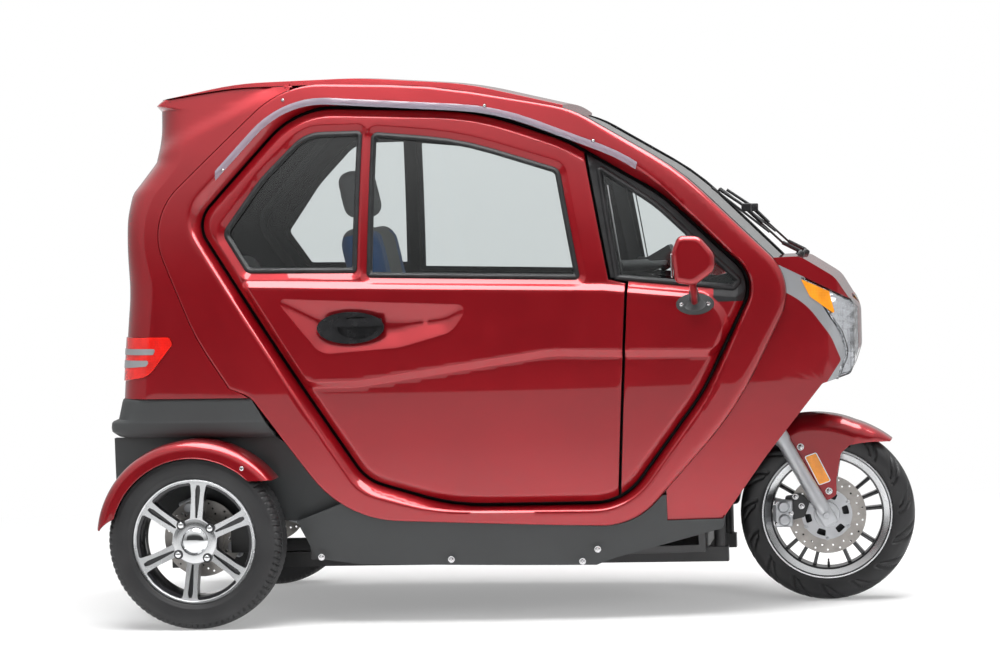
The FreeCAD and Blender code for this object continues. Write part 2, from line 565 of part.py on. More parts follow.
def rear_inside(wall):
    """Space inside the rear face at one wall thickness, open ahead and below."""
    face = [(x + wall, z, radius) for x, z, radius in REAR_FACE]
    floor = [(REAR_SPACE["front_x"], REAR_SPACE["low_z"], 0), (face[0][0], REAR_SPACE["low_z"], 0)]
    corners = floor + face + REAR_CEILING
    return side_prism(corners).common(core(RING_PROUD - wall))


def rear_body():
    outer = rear_solid(0)
    crease = side_prism(CREASE).cut(core(RING_PROUD - CREASE_STEP))
    outer = outer.cut(crease)
    sides = side_prism(grown(RING_OUTER, PANEL_GAP)).cut(core(CABIN_DEPTH))
    shell = outer.cut(rear_inside(PANEL_WALL)).cut(sides)
    shell = shell.cut(rear_prism(BOOT["half_width"], BOOT["low"], BOOT["high"], BOOT["radius"],
                                 BOOT["front_x"]))
    shell = shell.cut(rear_prism(REAR_GLASS["half_width"], REAR_GLASS["low"], REAR_GLASS["high"],
                                 REAR_GLASS["radius"], 0))
    shell = shell.cut(tail_lamp(SEAT_GAP))
    for side in (-1, 1):
        middle = side * LID_HINGE["y"]
        pocket = lid_knuckle(middle, LID_HINGE["length"] + 2 * LID_HINGE["clearance"],
                             LID_HINGE["r"] + LID_HINGE["clearance"])
        shell = shell.cut(pocket)
        outboard = middle + side * (LID_HINGE["length"] + SEAT_GAP)
        shell = shell.fuse([lid_knuckle(outboard, LID_HINGE["length"], LID_HINGE["r"]),
                            lid_leaf(outboard, LID_HINGE["z"], LID_HINGE["z"] + LID_HINGE["leaf"])])
    return shell


def lid_knuckle(y, length, radius):
    start = Vector(LID_HINGE["x"], y - length / 2, LID_HINGE["z"])
    return Part.makeCylinder(radius, length, start, Vector(0, 1, 0))


def lid_leaf(y, low, high):
    x, r = LID_HINGE["x"], LID_HINGE["r"]
    half = LID_HINGE["length"] / 2
    return box(x - r, x + r, y - half, y + half, low, high)


def boot_lid():
    wall = rear_solid(0).cut(rear_inside(PANEL_WALL))
    lid = wall.common(rear_prism(BOOT["half_width"] - LID_GAP, BOOT["low"] + LID_GAP, BOOT["high"] - LID_GAP,
                                 BOOT["radius"] - LID_GAP, BOOT["front_x"]))
    for side in (-1, 1):
        middle = side * LID_HINGE["y"]
        lid = lid.fuse([lid_knuckle(middle, LID_HINGE["length"], LID_HINGE["r"]),
                        lid_leaf(middle, LID_HINGE["z"] - LID_HINGE["leaf"], LID_HINGE["z"])])
    return lid


def rear_glass():
    opening = rear_prism(REAR_GLASS["half_width"] - SEAT_GAP, REAR_GLASS["low"] + SEAT_GAP,
                         REAR_GLASS["high"] - SEAT_GAP, REAR_GLASS["radius"], 0)
    return side_prism(REAR_PANE).common(opening)


def tail_lamp(extra):
    """Both lamps; extra widens them into the pockets they sit in."""
    block = rear_solid(LAMP_PROUD).cut(rear_inside(LAMP_DEPTH + extra))
    lamps = block.common(side_prism(grown(TAIL_LAMP, extra)))
    reach = TAIL_LAMP_REACH_Y - extra
    return lamps.cut(box(-ACROSS, ACROSS, -reach, reach, 0, SKY_Z))


def rear_bumper():
    outer = side_prism(BUMPER_PROFILE).common(core(BUMPER_PROUD))
    hollow = box(BUMPER_PROFILE[0][0] + BUMPER_HOLLOW["wall"], BUMPER_HOLLOW["front_x"], -ACROSS, ACROSS,
                 BUMPER_HOLLOW["low_z"], BUMPER_HOLLOW["high_z"])
    shell = outer.cut(hollow.common(core(BUMPER_PROUD - PANEL_WALL)))
    shell = shell.cut(side_prism(grown(RING_OUTER, PANEL_GAP)))
    arch_start = Vector(MUDGUARD["x"], -ACROSS, MUDGUARD["z"])
    shell = shell.cut(Part.makeCylinder(MUDGUARD["r"] + BUMPER_ARCH, 2 * ACROSS, arch_start, Vector(0, 1, 0)))
    for side in (-1, 1):
        start = Vector(-ACROSS, side * PLATE_HOLES["y"], PLATE_HOLES["z"])
        shell = shell.cut(Part.makeCylinder(PLATE_HOLES["r"], ACROSS, start, Vector(1, 0, 0)))
    return shell


def sill():
    ring = side_prism(grown(RING_OUTER, PANEL_GAP))
    rear = side_prism(LOWER_PROFILE, -ACROSS, 0).common(layer(LOWER_DEPTH, LOWER_DEPTH - LOWER_WALL))
    strip = side_prism(SILL_PROFILE, -ACROSS, 0).common(layer(SILL_PROUD, -PANEL_WALL))
    return rear.fuse(strip).cut(ring).cut(side_prism(grown(NOSE_PROFILE, SEAT_GAP))).removeSplitter()


def mudguard():
    centre = Vector(MUDGUARD["x"], -MUDGUARD["outer_y"], MUDGUARD["z"])
    across = Vector(0, 1, 0)
    width = MUDGUARD["outer_y"] - MUDGUARD_INNER_Y
    span = wedge(MUDGUARD["x"], MUDGUARD["z"], MUDGUARD["front"], MUDGUARD["rear"])
    roll = Part.makeCylinder(MUDGUARD["r"], width, centre, across)
    roll = roll.cut(Part.makeCylinder(MUDGUARD["r"] - MUDGUARD["wall"], width, centre, across))
    lip = Part.makeCylinder(MUDGUARD["r"], MUDGUARD["wall"], centre, across)
    lip = lip.cut(Part.makeCylinder(MUDGUARD["lip_r"], MUDGUARD["wall"], centre, across))
    guard = roll.fuse(lip).common(span)
    return guard.cut(right_core(LOWER_DEPTH + SEAT_GAP)).removeSplitter()


def wedge(x, z, start_deg, stop_deg, reach=500.0):
    """Upright fan between two directions, measured up from straight ahead."""
    middle = math.radians((start_deg + stop_deg) / 2)
    start = math.radians(start_deg)
    stop = math.radians(stop_deg)
    corners = [(x, z, 0)]
    for angle in (start, (start + middle) / 2, middle, (middle + stop) / 2, stop):
        corners.append((x + reach * math.cos(angle), z + reach * math.sin(angle), 0))
    return side_prism(corners)


# ------------------------------------------------------------------ nose
def nose_solid(offset):
    solid = side_prism(grown(NOSE_PROFILE, offset)).common(core(NOSE_DEPTH + offset))
    return solid.common(plan_prism(grown(NOSE_PLAN, offset)))


def nose_shell():
    cavity = nose_solid(-NOSE_WALL)
    mouth = side_prism(WHEEL_MOUTH)
    back = box(NOSE_BACK["rear_x"], NOSE_BACK["front_x"], -ACROSS, ACROSS,
               NOSE_BACK["low_z"], NOSE_BACK["high_z"])
    inside = core(NOSE_DEPTH - NOSE_WALL)
    shell = nose_solid(0).cut(cavity).cut(mouth.common(inside)).cut(back.common(inside))
    return shell.cut(side_prism(grown(RING_OUTER, PANEL_GAP)))


def nose_pieces():
    shell = nose_shell()
    rear_x, front_x, y, z = (NOSE_BRIDGE[key] for key in ("rear_x", "front_x", "y", "z"))
    bridge = box(rear_x, front_x, -y, y, z, SKY_Z)
    chin = box(rear_x, front_x, -y, y, NOSE_BRIDGE["low_z"], z - PANEL_GAP)
    hood_zone = side_prism(HOOD_REGION).fuse(bridge)
    fascia_zone = side_prism(FASCIA_REGION).cut(bridge).fuse(chin)
    hood = shell.common(hood_zone)
    fascia = shell.common(fascia_zone)
    rest = shell.cut(hood_zone).cut(fascia_zone)
    lamps = rest.common(side_prism(LAMP_REGION))
    bezels = rest.cut(side_prism(LAMP_REGION))
    return hood, fascia, lamps, bezels


# ------------------------------------------------------------------ floor, frame and cabin
def column_space(radius):
    return rod(on_steering(COLUMN_CLEARANCE["low"]), on_steering(COLUMN_CLEARANCE["high"]), radius)


def floor_pan():
    pan = side_prism(FLOOR).common(core(CABIN_DEPTH))
    return pan.cut(column_space(HEAD_TUBE_R + COLUMN_CLEARANCE["floor"]))


def dashboard():
    section = [(DASH_X + x, z, radius) for x, z, radius in DASH]
    return side_prism(section).common(core(CABIN_DEPTH)).cut(column_space(STEM_R + COLUMN_CLEARANCE["dash"]))


def chassis_frame():
    solids = []
    half = RAIL["w"] / 2
    rail_top = RAIL["z"] + RAIL["h"]
    for side in (-1, 1):
        y = side * RAIL["y"]
        solids.append(box(RAIL["rear_x"], RAIL["front_x"], y - half, y + half, RAIL["z"], rail_top))
        foot = Vector(POST["x"], y, RAIL["z"] + RAIL["h"] / 2)
        knee = Vector(POST["x"], y, POST["knee_z"])
        solids.append(rod(foot, knee, POST["r"]))
        solids.append(rod(knee, on_steering(POST["top"], 0, side * HEAD_TUBE_R / 2), POST["r"]))
        solids.append(Part.makeSphere(POST["r"] + SEAT_GAP, knee))
    for x in CROSS_MEMBERS_X:
        solids.append(box(x - half, x + half, -RAIL["y"], RAIL["y"], RAIL["z"], rail_top))
    tongue_z = RAIL["z"] + RAIL["h"] / 2 - TOW_EYE["t"] / 2
    solids.append(box(TOW_EYE["x"], CROSS_MEMBERS_X[0], -TOW_EYE["r"], TOW_EYE["r"],
                      tongue_z, tongue_z + TOW_EYE["t"]))
    solids.append(Part.makeCylinder(TOW_EYE["r"], TOW_EYE["t"], Vector(TOW_EYE["x"], 0, tongue_z)))
    solids.append(rod(on_steering(HEAD_TUBE[0]), on_steering(HEAD_TUBE[1]), HEAD_TUBE_R))
    frame = solids[0].fuse(solids[1:])
    frame = frame.cut(Part.makeCylinder(TOW_EYE["hole_r"], RAIL["h"], Vector(TOW_EYE["x"], 0, RAIL["z"])))
    low, high = on_steering(HEAD_TUBE[0] - HEAD_BORE_EXTRA), on_steering(HEAD_TUBE[1] + HEAD_BORE_EXTRA)
    return frame.cut(rod(low, high, STEM_R + PIN_CLEARANCE))


def battery_box():
    return box(BATTERY["x0"], BATTERY["x1"], -BATTERY["half"], BATTERY["half"],
               FLOOR_Z + FLOOR_T + SEAT_GAP, SEAT_BASE["z0"] - SEAT_GAP)


def driver_seat():
    cushion = box(SEAT_BASE["x0"], SEAT_BASE["x1"], -SEAT_BASE["half"], SEAT_BASE["half"],
                  SEAT_BASE["z0"], SEAT_BASE["z1"])
    rounded = [edge for edge in cushion.Edges
               if edge.BoundBox.ZLength > SEAT_EDGE_R or edge.BoundBox.ZMin > SEAT_BASE["z1"] - SEAT_EDGE_R]
    cushion = cushion.makeFillet(SEAT_EDGE_R, rounded)
    back = side_prism(SEAT_BACK, -SEAT_BACK_HALF, SEAT_BACK_HALF)
    head = side_prism(HEADREST, -HEADREST_HALF, HEADREST_HALF)
    posts = []
    for y in (-HEADREST_POST["y"], HEADREST_POST["y"]):
        foot = Vector(HEADREST_POST["foot"][0], y, HEADREST_POST["foot"][1])
        posts.append(rod(foot, Vector(HEADREST_POST["top"][0], y, HEADREST_POST["top"][1]), HEADREST_POST["r"]))
    return cushion.fuse([back, head] + posts)


def rear_bench():
    cushion = side_prism(BENCH_CUSHION, -BENCH_HALF, BENCH_HALF)
    back = side_prism(BENCH_BACK, -BENCH_HALF, BENCH_HALF)
    return cushion.fuse(back)


# ------------------------------------------------------------------ running gear
def along_y(x, y0, y1, z, radius):
    """A bar across the car."""
    return rod(Vector(x, y0, z), Vector(x, y1, z), radius)


def rear_axle():
    z = REAR_TYRE_R
    half_track = TRACK / 2
    half_motor = MOTOR["y"] / 2
    solids = [along_y(0, -AXLE_TUBE_END, AXLE_TUBE_END, z, AXLE_TUBE_R),
              along_y(0, -half_track - STUB_EXTRA, half_track + STUB_EXTRA, z, AXLE_R),
              box(-MOTOR["x"] / 2, MOTOR["x"] / 2, MOTOR["offset"] - half_motor, MOTOR["offset"] + half_motor,
                  z - MOTOR["z"] / 2, z + MOTOR["z"] / 2)]
    for side in (-1, 1):
        spring_y = side * SPRING["y"]
        solids.append(rod(Vector(0, spring_y, z), Vector(0, spring_y, BENCH_FLOOR_Z - SEAT_GAP), SPRING["r"]))
        arm_y = side * (half_track - HUB_INNER - CALIPER_ARM["inset"])
        solids.append(box(0, CALIPER["r"] + CALIPER_ARM["reach"], arm_y - CALIPER_ARM["half_t"],
                          arm_y + CALIPER_ARM["half_t"], z - CALIPER_ARM["half_h"], z + CALIPER_ARM["half_h"]))
        sleeve_y = side * (AXLE_TUBE_END - CALIPER_SLEEVE["length"])
        solids.append(along_y(0, sleeve_y, arm_y + side * CALIPER_ARM["half_t"], z, CALIPER_SLEEVE["r"]))
        disc_y = side * (half_track - HUB_INNER)
        half_slot = CALIPER["slot"] / 2
        half_caliper = half_slot + CALIPER["wall"]
        caliper = box(CALIPER["r"], CALIPER["r"] + CALIPER["x"], disc_y - half_caliper, disc_y + half_caliper,
                      z - CALIPER["z"] / 2, z + CALIPER["z"] / 2)
        slot = along_y(0, disc_y - half_slot, disc_y + half_slot, z, REAR_DISC_R + CALIPER["disc_gap"])
        solids.append(caliper.cut(slot))
    return solids[0].fuse(solids[1:]).removeSplitter()


# a tyre's section: share of its height above the rim, and share of its half width
TYRE_SECTION = ((0.0, RIM_SHARE), (0.45, 1.0), (0.84, 0.90), (1.0, 0.52))


def tyre(radius, width, rim_r):
    side = [(rim_r + (radius - rim_r) * height, width / 2 * out, 0) for height, out in TYRE_SECTION]
    section = [(r, -y, 0) for r, y, _ in side] + side[::-1]
    wire = outline(section, lambda r, y: Vector(r, y, 0))
    return Part.Face(wire).revolve(Vector(0, 0, 0), Vector(0, 1, 0), 360)


def rim(rim_r, width, spokes, spoke_w, spoke_t, hub_from, hub_to, spoke_y):
    half = width * RIM_SHARE / 2
    barrel = along_y(0, -half, half, 0, rim_r).cut(along_y(0, -half, half, 0, rim_r - RIM_WALL))
    solids = [along_y(0, hub_from, hub_to, 0, HUB_R)]
    for i in range(spokes):
        spoke = box(0, rim_r - RIM_WALL / 2, spoke_y, spoke_y + spoke_t, -spoke_w / 2, spoke_w / 2)
        spoke.rotate(Vector(0, 0, 0), Vector(0, 1, 0), FIRST_SPOKE + i * 360.0 / spokes)
        solids.append(spoke)
    return barrel.fuse(solids)


def rear_wheel():
    """Right-hand wheel about the origin: tyre, and rim with its disc."""
    half = REAR_TYRE_W * RIM_SHARE / 2
    wheel = rim(REAR_RIM_R, REAR_TYRE_W, REAR_SPOKES, REAR_SPOKE_W, REAR_SPOKE_T, HUB_INSET - half,
                HUB_INNER + DISC_T / 2, SPOKE_INSET - half)
    disc = along_y(0, HUB_INNER - DISC_T / 2, HUB_INNER + DISC_T / 2, 0, REAR_DISC_R)
    bore = along_y(0, REAR_BORE["from"], REAR_BORE["from"] + REAR_BORE["length"], 0, AXLE_R + PIN_CLEARANCE)
    return tyre(REAR_TYRE_R, REAR_TYRE_W, REAR_RIM_R), wheel.fuse(disc).cut(bore)


def at(shape, x, y, z):
    moved = shape.copy()
    moved.translate(Vector(x, y, z))
    return moved


def front_wheel():
    inner_y = FRONT_DISC_Y + DISC_T / 2
    wheel = rim(FRONT_RIM_R, FRONT_TYRE_W, FRONT_SPOKES, FRONT_SPOKE_W, FRONT_SPOKE_T, inner_y, FRONT_HUB_END,
                -FRONT_SPOKE_T / 2)
    disc = along_y(0, FRONT_DISC_Y - DISC_T / 2, inner_y, 0, FRONT_DISC_R)
    bore = along_y(0, -ACROSS, ACROSS, 0, AXLE_R + PIN_CLEARANCE)
    return tyre(FRONT_TYRE_R, FRONT_TYRE_W, FRONT_RIM_R), wheel.cut(bore), disc.cut(bore)


def front_caliper():
    """Clamp over the disc and the bracket that ties it to the fork leg, about the axle."""
    clamp = box(-FRONT_CALIPER["rear"], -FRONT_CALIPER["front"], FRONT_CALIPER["inner"], FRONT_CALIPER["outer"],
                -FRONT_CALIPER["half_h"], FRONT_CALIPER["half_h"])
    bracket = box(-FRONT_BRACKET["rear"], 0, FRONT_BRACKET["inner"], FRONT_BRACKET["outer"],
                  -FRONT_BRACKET["half_h"], FRONT_BRACKET["half_h"])
    half_slot = CALIPER["slot"] / 2
    return clamp.fuse(bracket).cut(along_y(0, -half_slot, half_slot, 0, FRONT_DISC_R + CALIPER["disc_gap"]))


def fork():
    crown = box(-CROWN_EDGE, FORK_OFFSET + CROWN_EDGE, -CROWN_HALF, CROWN_HALF, 0, CROWN_T)
    crown.rotate(Vector(0, 0, 0), Vector(0, 1, 0), -math.degrees(RAKE))
    crown.translate(on_steering(CROWN_AT))
    solids = [crown, rod(on_steering(CROWN_AT), on_steering(STEM_TOP), STEM_R)]
    for y in (-FORK_LEG_Y, FORK_LEG_Y):
        leg_top = on_steering(CROWN_AT + CROWN_T, FORK_OFFSET, y)
        solids.append(rod(on_steering(LEG_FOOT, FORK_OFFSET, y), leg_top, FORK_LEG_R))
        solids.append(rod(on_steering(SLIDER[0], FORK_OFFSET, y), on_steering(SLIDER[1], FORK_OFFSET, y),
                          FORK_SLIDER_R))
    solids.append(along_y(WHEELBASE, -FORK_LEG_Y, FORK_LEG_Y, FRONT_TYRE_R, AXLE_R))
    solids.append(at(front_caliper(), WHEELBASE, FRONT_DISC_Y, FRONT_TYRE_R))
    return solids[0].fuse(solids[1:]).removeSplitter()


def bar_point(along, side):
    return on_steering(STEM_TOP, along * math.cos(RAKE), side) + STEER_UP * (BAR_LIFT - along * math.sin(RAKE))


def handlebar():
    solids = [rod(on_steering(STEM_TOP + SEAT_GAP), on_steering(STEM_TOP + CLAMP_H), STEM_R + CLAMP_WALL)]
    for side in (-1, 1):
        inner = bar_point(BAR_POINTS[0][0], 0)
        bend = bar_point(BAR_POINTS[1][0], side * BAR_POINTS[1][1])
        outer = bar_point(BAR_POINTS[2][0], side * BAR_POINTS[2][1])
        tip = bar_point(GRIP_END[0], side * GRIP_END[1])
        solids += [rod(inner, bend, BAR_R), Part.makeSphere(BAR_R + SEAT_GAP, bend), rod(bend, outer, BAR_R),
                   rod(bend + (tip - bend) * GRIP_START, tip, GRIP_R)]
    pod = box(POD["rear"], POD["front"], -POD["half"], POD["half"], POD["low"], POD["high"])
    pod.rotate(Vector(0, 0, 0), Vector(0, 1, 0), -math.degrees(RAKE))
    pod.translate(on_steering(STEM_TOP))
    solids.append(pod)
    return solids[0].fuse(solids[1:])


def front_fender():
    half = FENDER["half_width"]
    rear_x, front_x = WHEELBASE - FENDER["r"] - FENDER["wall"], WHEELBASE + FENDER["r"] + FENDER["wall"]
    between = box(rear_x, front_x, FENDER["wall"] - half, half - FENDER["wall"], 0, SKY_Z)
    outer = along_y(WHEELBASE, -half, half, FRONT_TYRE_R, FENDER["r"] + FENDER["wall"])
    roll = outer.cut(along_y(WHEELBASE, -half, half, FRONT_TYRE_R, FENDER["r"]))
    inside = along_y(WHEELBASE, -half, half, FRONT_TYRE_R, FENDER["r"] - FENDER["cheek"])
    cheeks = outer.cut(inside).cut(between)
    guard = roll.fuse(cheeks).common(wedge(WHEELBASE, FRONT_TYRE_R, FENDER["front"], FENDER["rear"]))
    tab = [(WHEELBASE + x, FRONT_TYRE_R + z, radius) for x, z, radius in FENDER_TAB]
    return guard.fuse(side_prism(tab, -half, half).cut(between)).removeSplitter()


# ------------------------------------------------------------------ outside fittings
def mirror():
    x, y, z = MIRROR["x"], -MIRROR["y"], MIRROR["z"]
    a, b, c = MIRROR_HALF
    head = box(x - a, x + a, y - b, y + b, z - c, z + c)
    head = head.makeFillet(MIRROR_EDGE_R, head.Edges)
    base = oval_prism(MIRROR_BASE, MIRROR_BASE_HALF)
    base = base.common(layer(MOULDING_PROUD + MIRROR_BASE_T, MOULDING_PROUD + SEAT_GAP))
    foot_y = face_y(MIRROR_BASE[0], MIRROR_BASE[1], MOULDING_PROUD + MIRROR_STEM["foot"])
    top = Vector(x + MIRROR_STEM["x"], y + MIRROR_STEM["y"], z - c + MIRROR_STEM["z"])
    stem = rod(Vector(MIRROR_BASE[0], foot_y, MIRROR_BASE[1]), top, MIRROR_STEM["r"])
    return head.fuse([base, stem])


def wipers():
    arms = []
    slope = Vector(-1, 0, 1).normalize()
    out = Vector(1, 0, 1).normalize()
    for root_y in WIPER_ROOTS_Y:
        root = Vector(WIPER["x"], root_y, WIPER["z"]) + out * WIPER["set"]
        tip = root + slope * WIPER["arm"] + Vector(0, WIPER["lean"] * WIPER["arm"], 0)
        base = Part.makeCylinder(WIPER["base_r"], WIPER["base_t"], root - out * WIPER["base_set"], out)
        run = (slope + Vector(0, -WIPER["lean"] * WIPER["turn"], 0)).normalize()
        blade = rod(tip - run * WIPER["blade"], tip + run * WIPER["blade"], WIPER["blade_r"])
        arm = rod(root, tip, WIPER["arm_r"])
        arms.append(arm.fuse([base, blade, Part.makeSphere(WIPER["joint_r"], tip)]))
    return Part.makeCompound(arms)


# ------------------------------------------------------------------ build
def build():
    keep_pair("side_ring", side_ring())
    keep_pair("door", door())
    for name, right in (("glass", door_glass()), ("handle", door_handle())):
        keep("door_right_" + name, right)
        keep("door_left_" + name, mirrored(right))
    keep_pair("front_panel", front_panel())
    keep("quarter_glass", both(quarter_pane()))
    keep("rain_visors", both(rain_visor()))
    keep("roof_panel", roof_panel())
    keep("windshield", windshield())
    keep("rear_body", rear_body())
    keep("boot_lid", boot_lid())
    keep("rear_glass", rear_glass())
    keep("tail_lamps", tail_lamp(0))
    keep("rear_bumper", rear_bumper())
    keep_pair("sill", sill())
    keep("rear_mudguards", both(mudguard()))
    hood, fascia, lamps, bezels = nose_pieces()
    keep("hood", hood)
    keep("front_fascia", fascia)
    keep("headlamps", lamps)
    keep("lamp_bezels", bezels)
    keep("floor_pan", floor_pan())
    keep("dashboard", dashboard())
    keep("chassis_frame", chassis_frame())
    keep("battery_box", battery_box())
    keep("driver_seat", driver_seat())
    keep("rear_bench", rear_bench())
    keep("rear_axle", rear_axle())
    rear_tyre, rear_rim = rear_wheel()
    keep_pair("rear_tyre", at(rear_tyre, 0, -TRACK / 2, REAR_TYRE_R))
    keep_pair("rear_rim", at(rear_rim, 0, -TRACK / 2, REAR_TYRE_R))
    for name, shape in zip(("front_tyre", "front_rim", "front_disc"), front_wheel()):
        keep(name, at(shape, WHEELBASE, 0, FRONT_TYRE_R))
    keep("fork", fork())
    keep("handlebar", handlebar())
    keep("front_fender", front_fender())
    keep("mirrors", both(mirror()))
    keep("wipers", wipers())


build()
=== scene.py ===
import json
import math

import bmesh
import bpy
import numpy as np
from bpy.props import FloatProperty, FloatVectorProperty, PointerProperty
from mathutils import Matrix, Vector
from mathutils.geometry import delaunay_2d_cdt


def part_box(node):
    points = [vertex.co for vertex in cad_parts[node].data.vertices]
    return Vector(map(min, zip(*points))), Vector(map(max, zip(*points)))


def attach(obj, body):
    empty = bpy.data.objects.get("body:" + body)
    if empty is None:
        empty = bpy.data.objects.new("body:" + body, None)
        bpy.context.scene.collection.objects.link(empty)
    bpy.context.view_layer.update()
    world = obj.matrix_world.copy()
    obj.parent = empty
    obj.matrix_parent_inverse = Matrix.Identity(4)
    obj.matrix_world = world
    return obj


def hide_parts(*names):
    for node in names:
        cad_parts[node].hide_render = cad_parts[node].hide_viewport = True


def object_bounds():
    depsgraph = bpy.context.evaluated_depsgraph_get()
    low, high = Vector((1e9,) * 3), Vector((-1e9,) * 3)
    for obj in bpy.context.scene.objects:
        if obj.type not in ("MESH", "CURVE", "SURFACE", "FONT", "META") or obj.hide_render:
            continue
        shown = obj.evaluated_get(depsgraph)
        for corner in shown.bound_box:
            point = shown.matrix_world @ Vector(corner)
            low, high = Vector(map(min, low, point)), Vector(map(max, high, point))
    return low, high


bl_info = {
    "name": "Cabin tricycle",
    "version": (1, 0, 0),
    "blender": (4, 5, 0),
    "location": "View3D > Sidebar > Tricycle",
    "description": "Dresses the packed cabin tricycle with paint, glass, trim, wheels and seats",
    "category": "Add Mesh",
}

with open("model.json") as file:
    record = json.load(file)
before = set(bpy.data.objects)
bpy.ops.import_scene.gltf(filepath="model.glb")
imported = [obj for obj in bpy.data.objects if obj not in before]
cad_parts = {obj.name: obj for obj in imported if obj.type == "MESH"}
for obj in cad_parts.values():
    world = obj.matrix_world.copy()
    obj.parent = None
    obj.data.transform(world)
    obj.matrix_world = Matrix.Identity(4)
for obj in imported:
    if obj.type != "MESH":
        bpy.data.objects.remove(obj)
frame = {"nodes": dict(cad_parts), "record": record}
CAD_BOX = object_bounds()
MM = 0.001


def middle(node):
    low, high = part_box(node)
    return (low + high) / 2


REAR_AXLE = middle("rear_tyre_right")
FRONT_AXLE = middle("front_tyre")
AHEAD = REAR_AXLE.x            # outlines are drawn in millimetres ahead of the rear axle

# ---------------------------------------------------------------- body side surface, in millimetres
HALF_WIDTH = 472.0
WIDEST_X = 550.0
WIDEST_Z = 620.0
PLAN_RADIUS = 4300.0
SECTION_RADIUS = 2600.0

# depths from the door face, outward positive
RING_PROUD = 22.0
CHANNEL_DEPTH = -14.0
MOULDING_PROUD = 14.0
MOULDING_SLOPE = 17.0
SCOOP_DEPTH = 20.0
SCOOP_SLOPE = 48.0
DOOR_EDGE_DROP = 11.0
DOOR_EDGE_SLOPE = 21.0
WINDOW_DROP = 9.0
WINDOW_SLOPE = 19.0
DOOR_BACK = -40.0
RING_BACK = -45.0
DOOR_GAP = 8.0
SHUT_GAP = 6.0
EDGE_ROUND = 3.5
FOLD = 1.6                     # half width of the rounding along a pressed fold
SEAL_WIDTH = 14.0
POST_LOW, POST_HIGH = 322.0, 1262.0
SEAL_LAP = 2.0

# outlines: (x, z, corner radius)
RING_OUTER = [(240, 1450, 260), (640, 1432, 1500), (1018, 1358, 300), (1303, 1187, 700),
              (1606, 884, 140), (1440, 553, 900), (1165, 248, 190), (395, 283, 300),
              (150, 615, 80), (92, 636, 0), (0, 775, 600), (-140, 1095, 170)]
RING_FACE_INNER = [(-41, 1103, 90), (244, 1407, 250), (822, 1361, 700), (1190, 1213, 500),
                   (1506, 893, 100), (1366, 585, 400), (1155, 294, 190), (620, 302, 600),
                   (438, 355, 120)]
APERTURE = [(-2, 1083, 70), (275, 1383, 230), (760, 1359, 700), (995, 1274, 300),
            (1249, 1122, 500), (1490, 890, 90), (1348, 600, 500), (1134, 316, 150),
            (690, 318, 600), (458, 388, 120)]
SHUT_LINE = [(1121, 100), (1124, 330), (1157, 891), (1112, 903), (1046, 1262), (1030, 1600)]
REAR_WINDOW = [(70, 1052, 30), (175, 1196, 300), (297, 1317, 110), (455, 1317, 15),
               (443, 938, 12), (140, 944, 25)]
MAIN_WINDOW = [(480, 1313, 18), (720, 1287, 900), (985, 1199, 30), (1038, 905, 12),
               (470, 925, 12)]
QUARTER_WINDOW = [(1080, 1213, 10), (1243, 1103, 400), (1462, 890, 15), (1440, 866, 10),
                  (1128, 902, 6)]
MOULDING = [(116, 924, 14), (1100, 892, 0), (1368, 862, 60), (1440, 792, 95), (1404, 692, 60),
            (1100, 700, 0), (960, 706, 300), (440, 634, 300), (300, 634, 60)]
HANDLE_SCOOP = [(222, 874, 12), (748, 846, 18), (700, 776, 60), (560, 738, 150), (345, 724, 60)]

REAR_BOTTOM = 612.0
REAR_FACE = [(270, REAR_BOTTOM, 0), (-228, REAR_BOTTOM, 0), (-206, 880, 400), (-209, 1100, 200),
             (-199, 1166, 25), (-133, 1250, 14), (-124, 1330, 200), (-128, 1402, 8),
             (-108, 1419, 12), (100, 1444, 900), (270, 1443.5, 0)]
SHOULDER = [(-230, 1190), (-160, 1238), (-119, 1262), (8, 1325), (182, 1405), (262, 1436)]
SHOULDER_STEP = 13.0
TAIL_LAMP = [(-260, 778, 0), (-74, 778, 8), (-64, 758, 10), (-136, 672, 60), (-260, 655, 0)]
TAIL_STRIPS = ([(-262, 747, 2), (-112, 747, 5), (-120, 731, 5), (-262, 731, 2)],
               [(-262, 716, 2), (-126, 716, 6), (-142, 700, 4), (-262, 692, 2)])
PANEL_BELT = 903.0
PANEL_CORNER = (1385.0, 836.0)
LID = {"half": 265.0, "low": 690.0, "high": 1078.0, "radius": 30.0, "gap": 6.0}
REAR_PANE = {"half": 235.0, "low": 1205.0, "high": 1375.0, "radius": 30.0}
NOSE_SIDE = ((1100.0, -482.0), (1742.0, -306.0))
AMBER = [(1614, 889, 0), (1687, 855, 4), (1701, 794, 3), (1636, 843, 4)]


# ---------------------------------------------------------------- objects and edit mode
def only(*objects):
    """Leave edit mode and select just these, with the last one active."""
    if bpy.context.object and bpy.context.object.mode != "OBJECT":
        bpy.ops.object.mode_set(mode="OBJECT")
    bpy.ops.object.select_all(action="DESELECT")
    for obj in objects:
        obj.select_set(True)
    bpy.context.view_layer.objects.active = objects[-1]


def edit(obj):
    only(obj)
    bpy.ops.object.mode_set(mode="EDIT")
    bpy.ops.mesh.select_all(action="SELECT")


def done(obj):
    only(obj)
    return obj


def pick_faces(obj, test):
    """In edit mode, select just the faces that pass a test."""
    bpy.ops.mesh.select_all(action="DESELECT")
    bpy.ops.mesh.select_mode(type="FACE")
    work = bmesh.from_edit_mesh(obj.data)
    work.normal_update()
    for face in work.faces:
        if test(face):
            face.select_set(True)
    work.select_flush_mode()
    bmesh.update_edit_mesh(obj.data)


def modifier(obj, kind, **settings):
    """Add one modifier, set it and apply it."""
    only(obj)
    added = obj.modifiers.new(kind.title(), kind)
    for name, value in settings.items():
        setattr(added, name, value)
    bpy.ops.object.modifier_apply(modifier=added.name)
    return obj


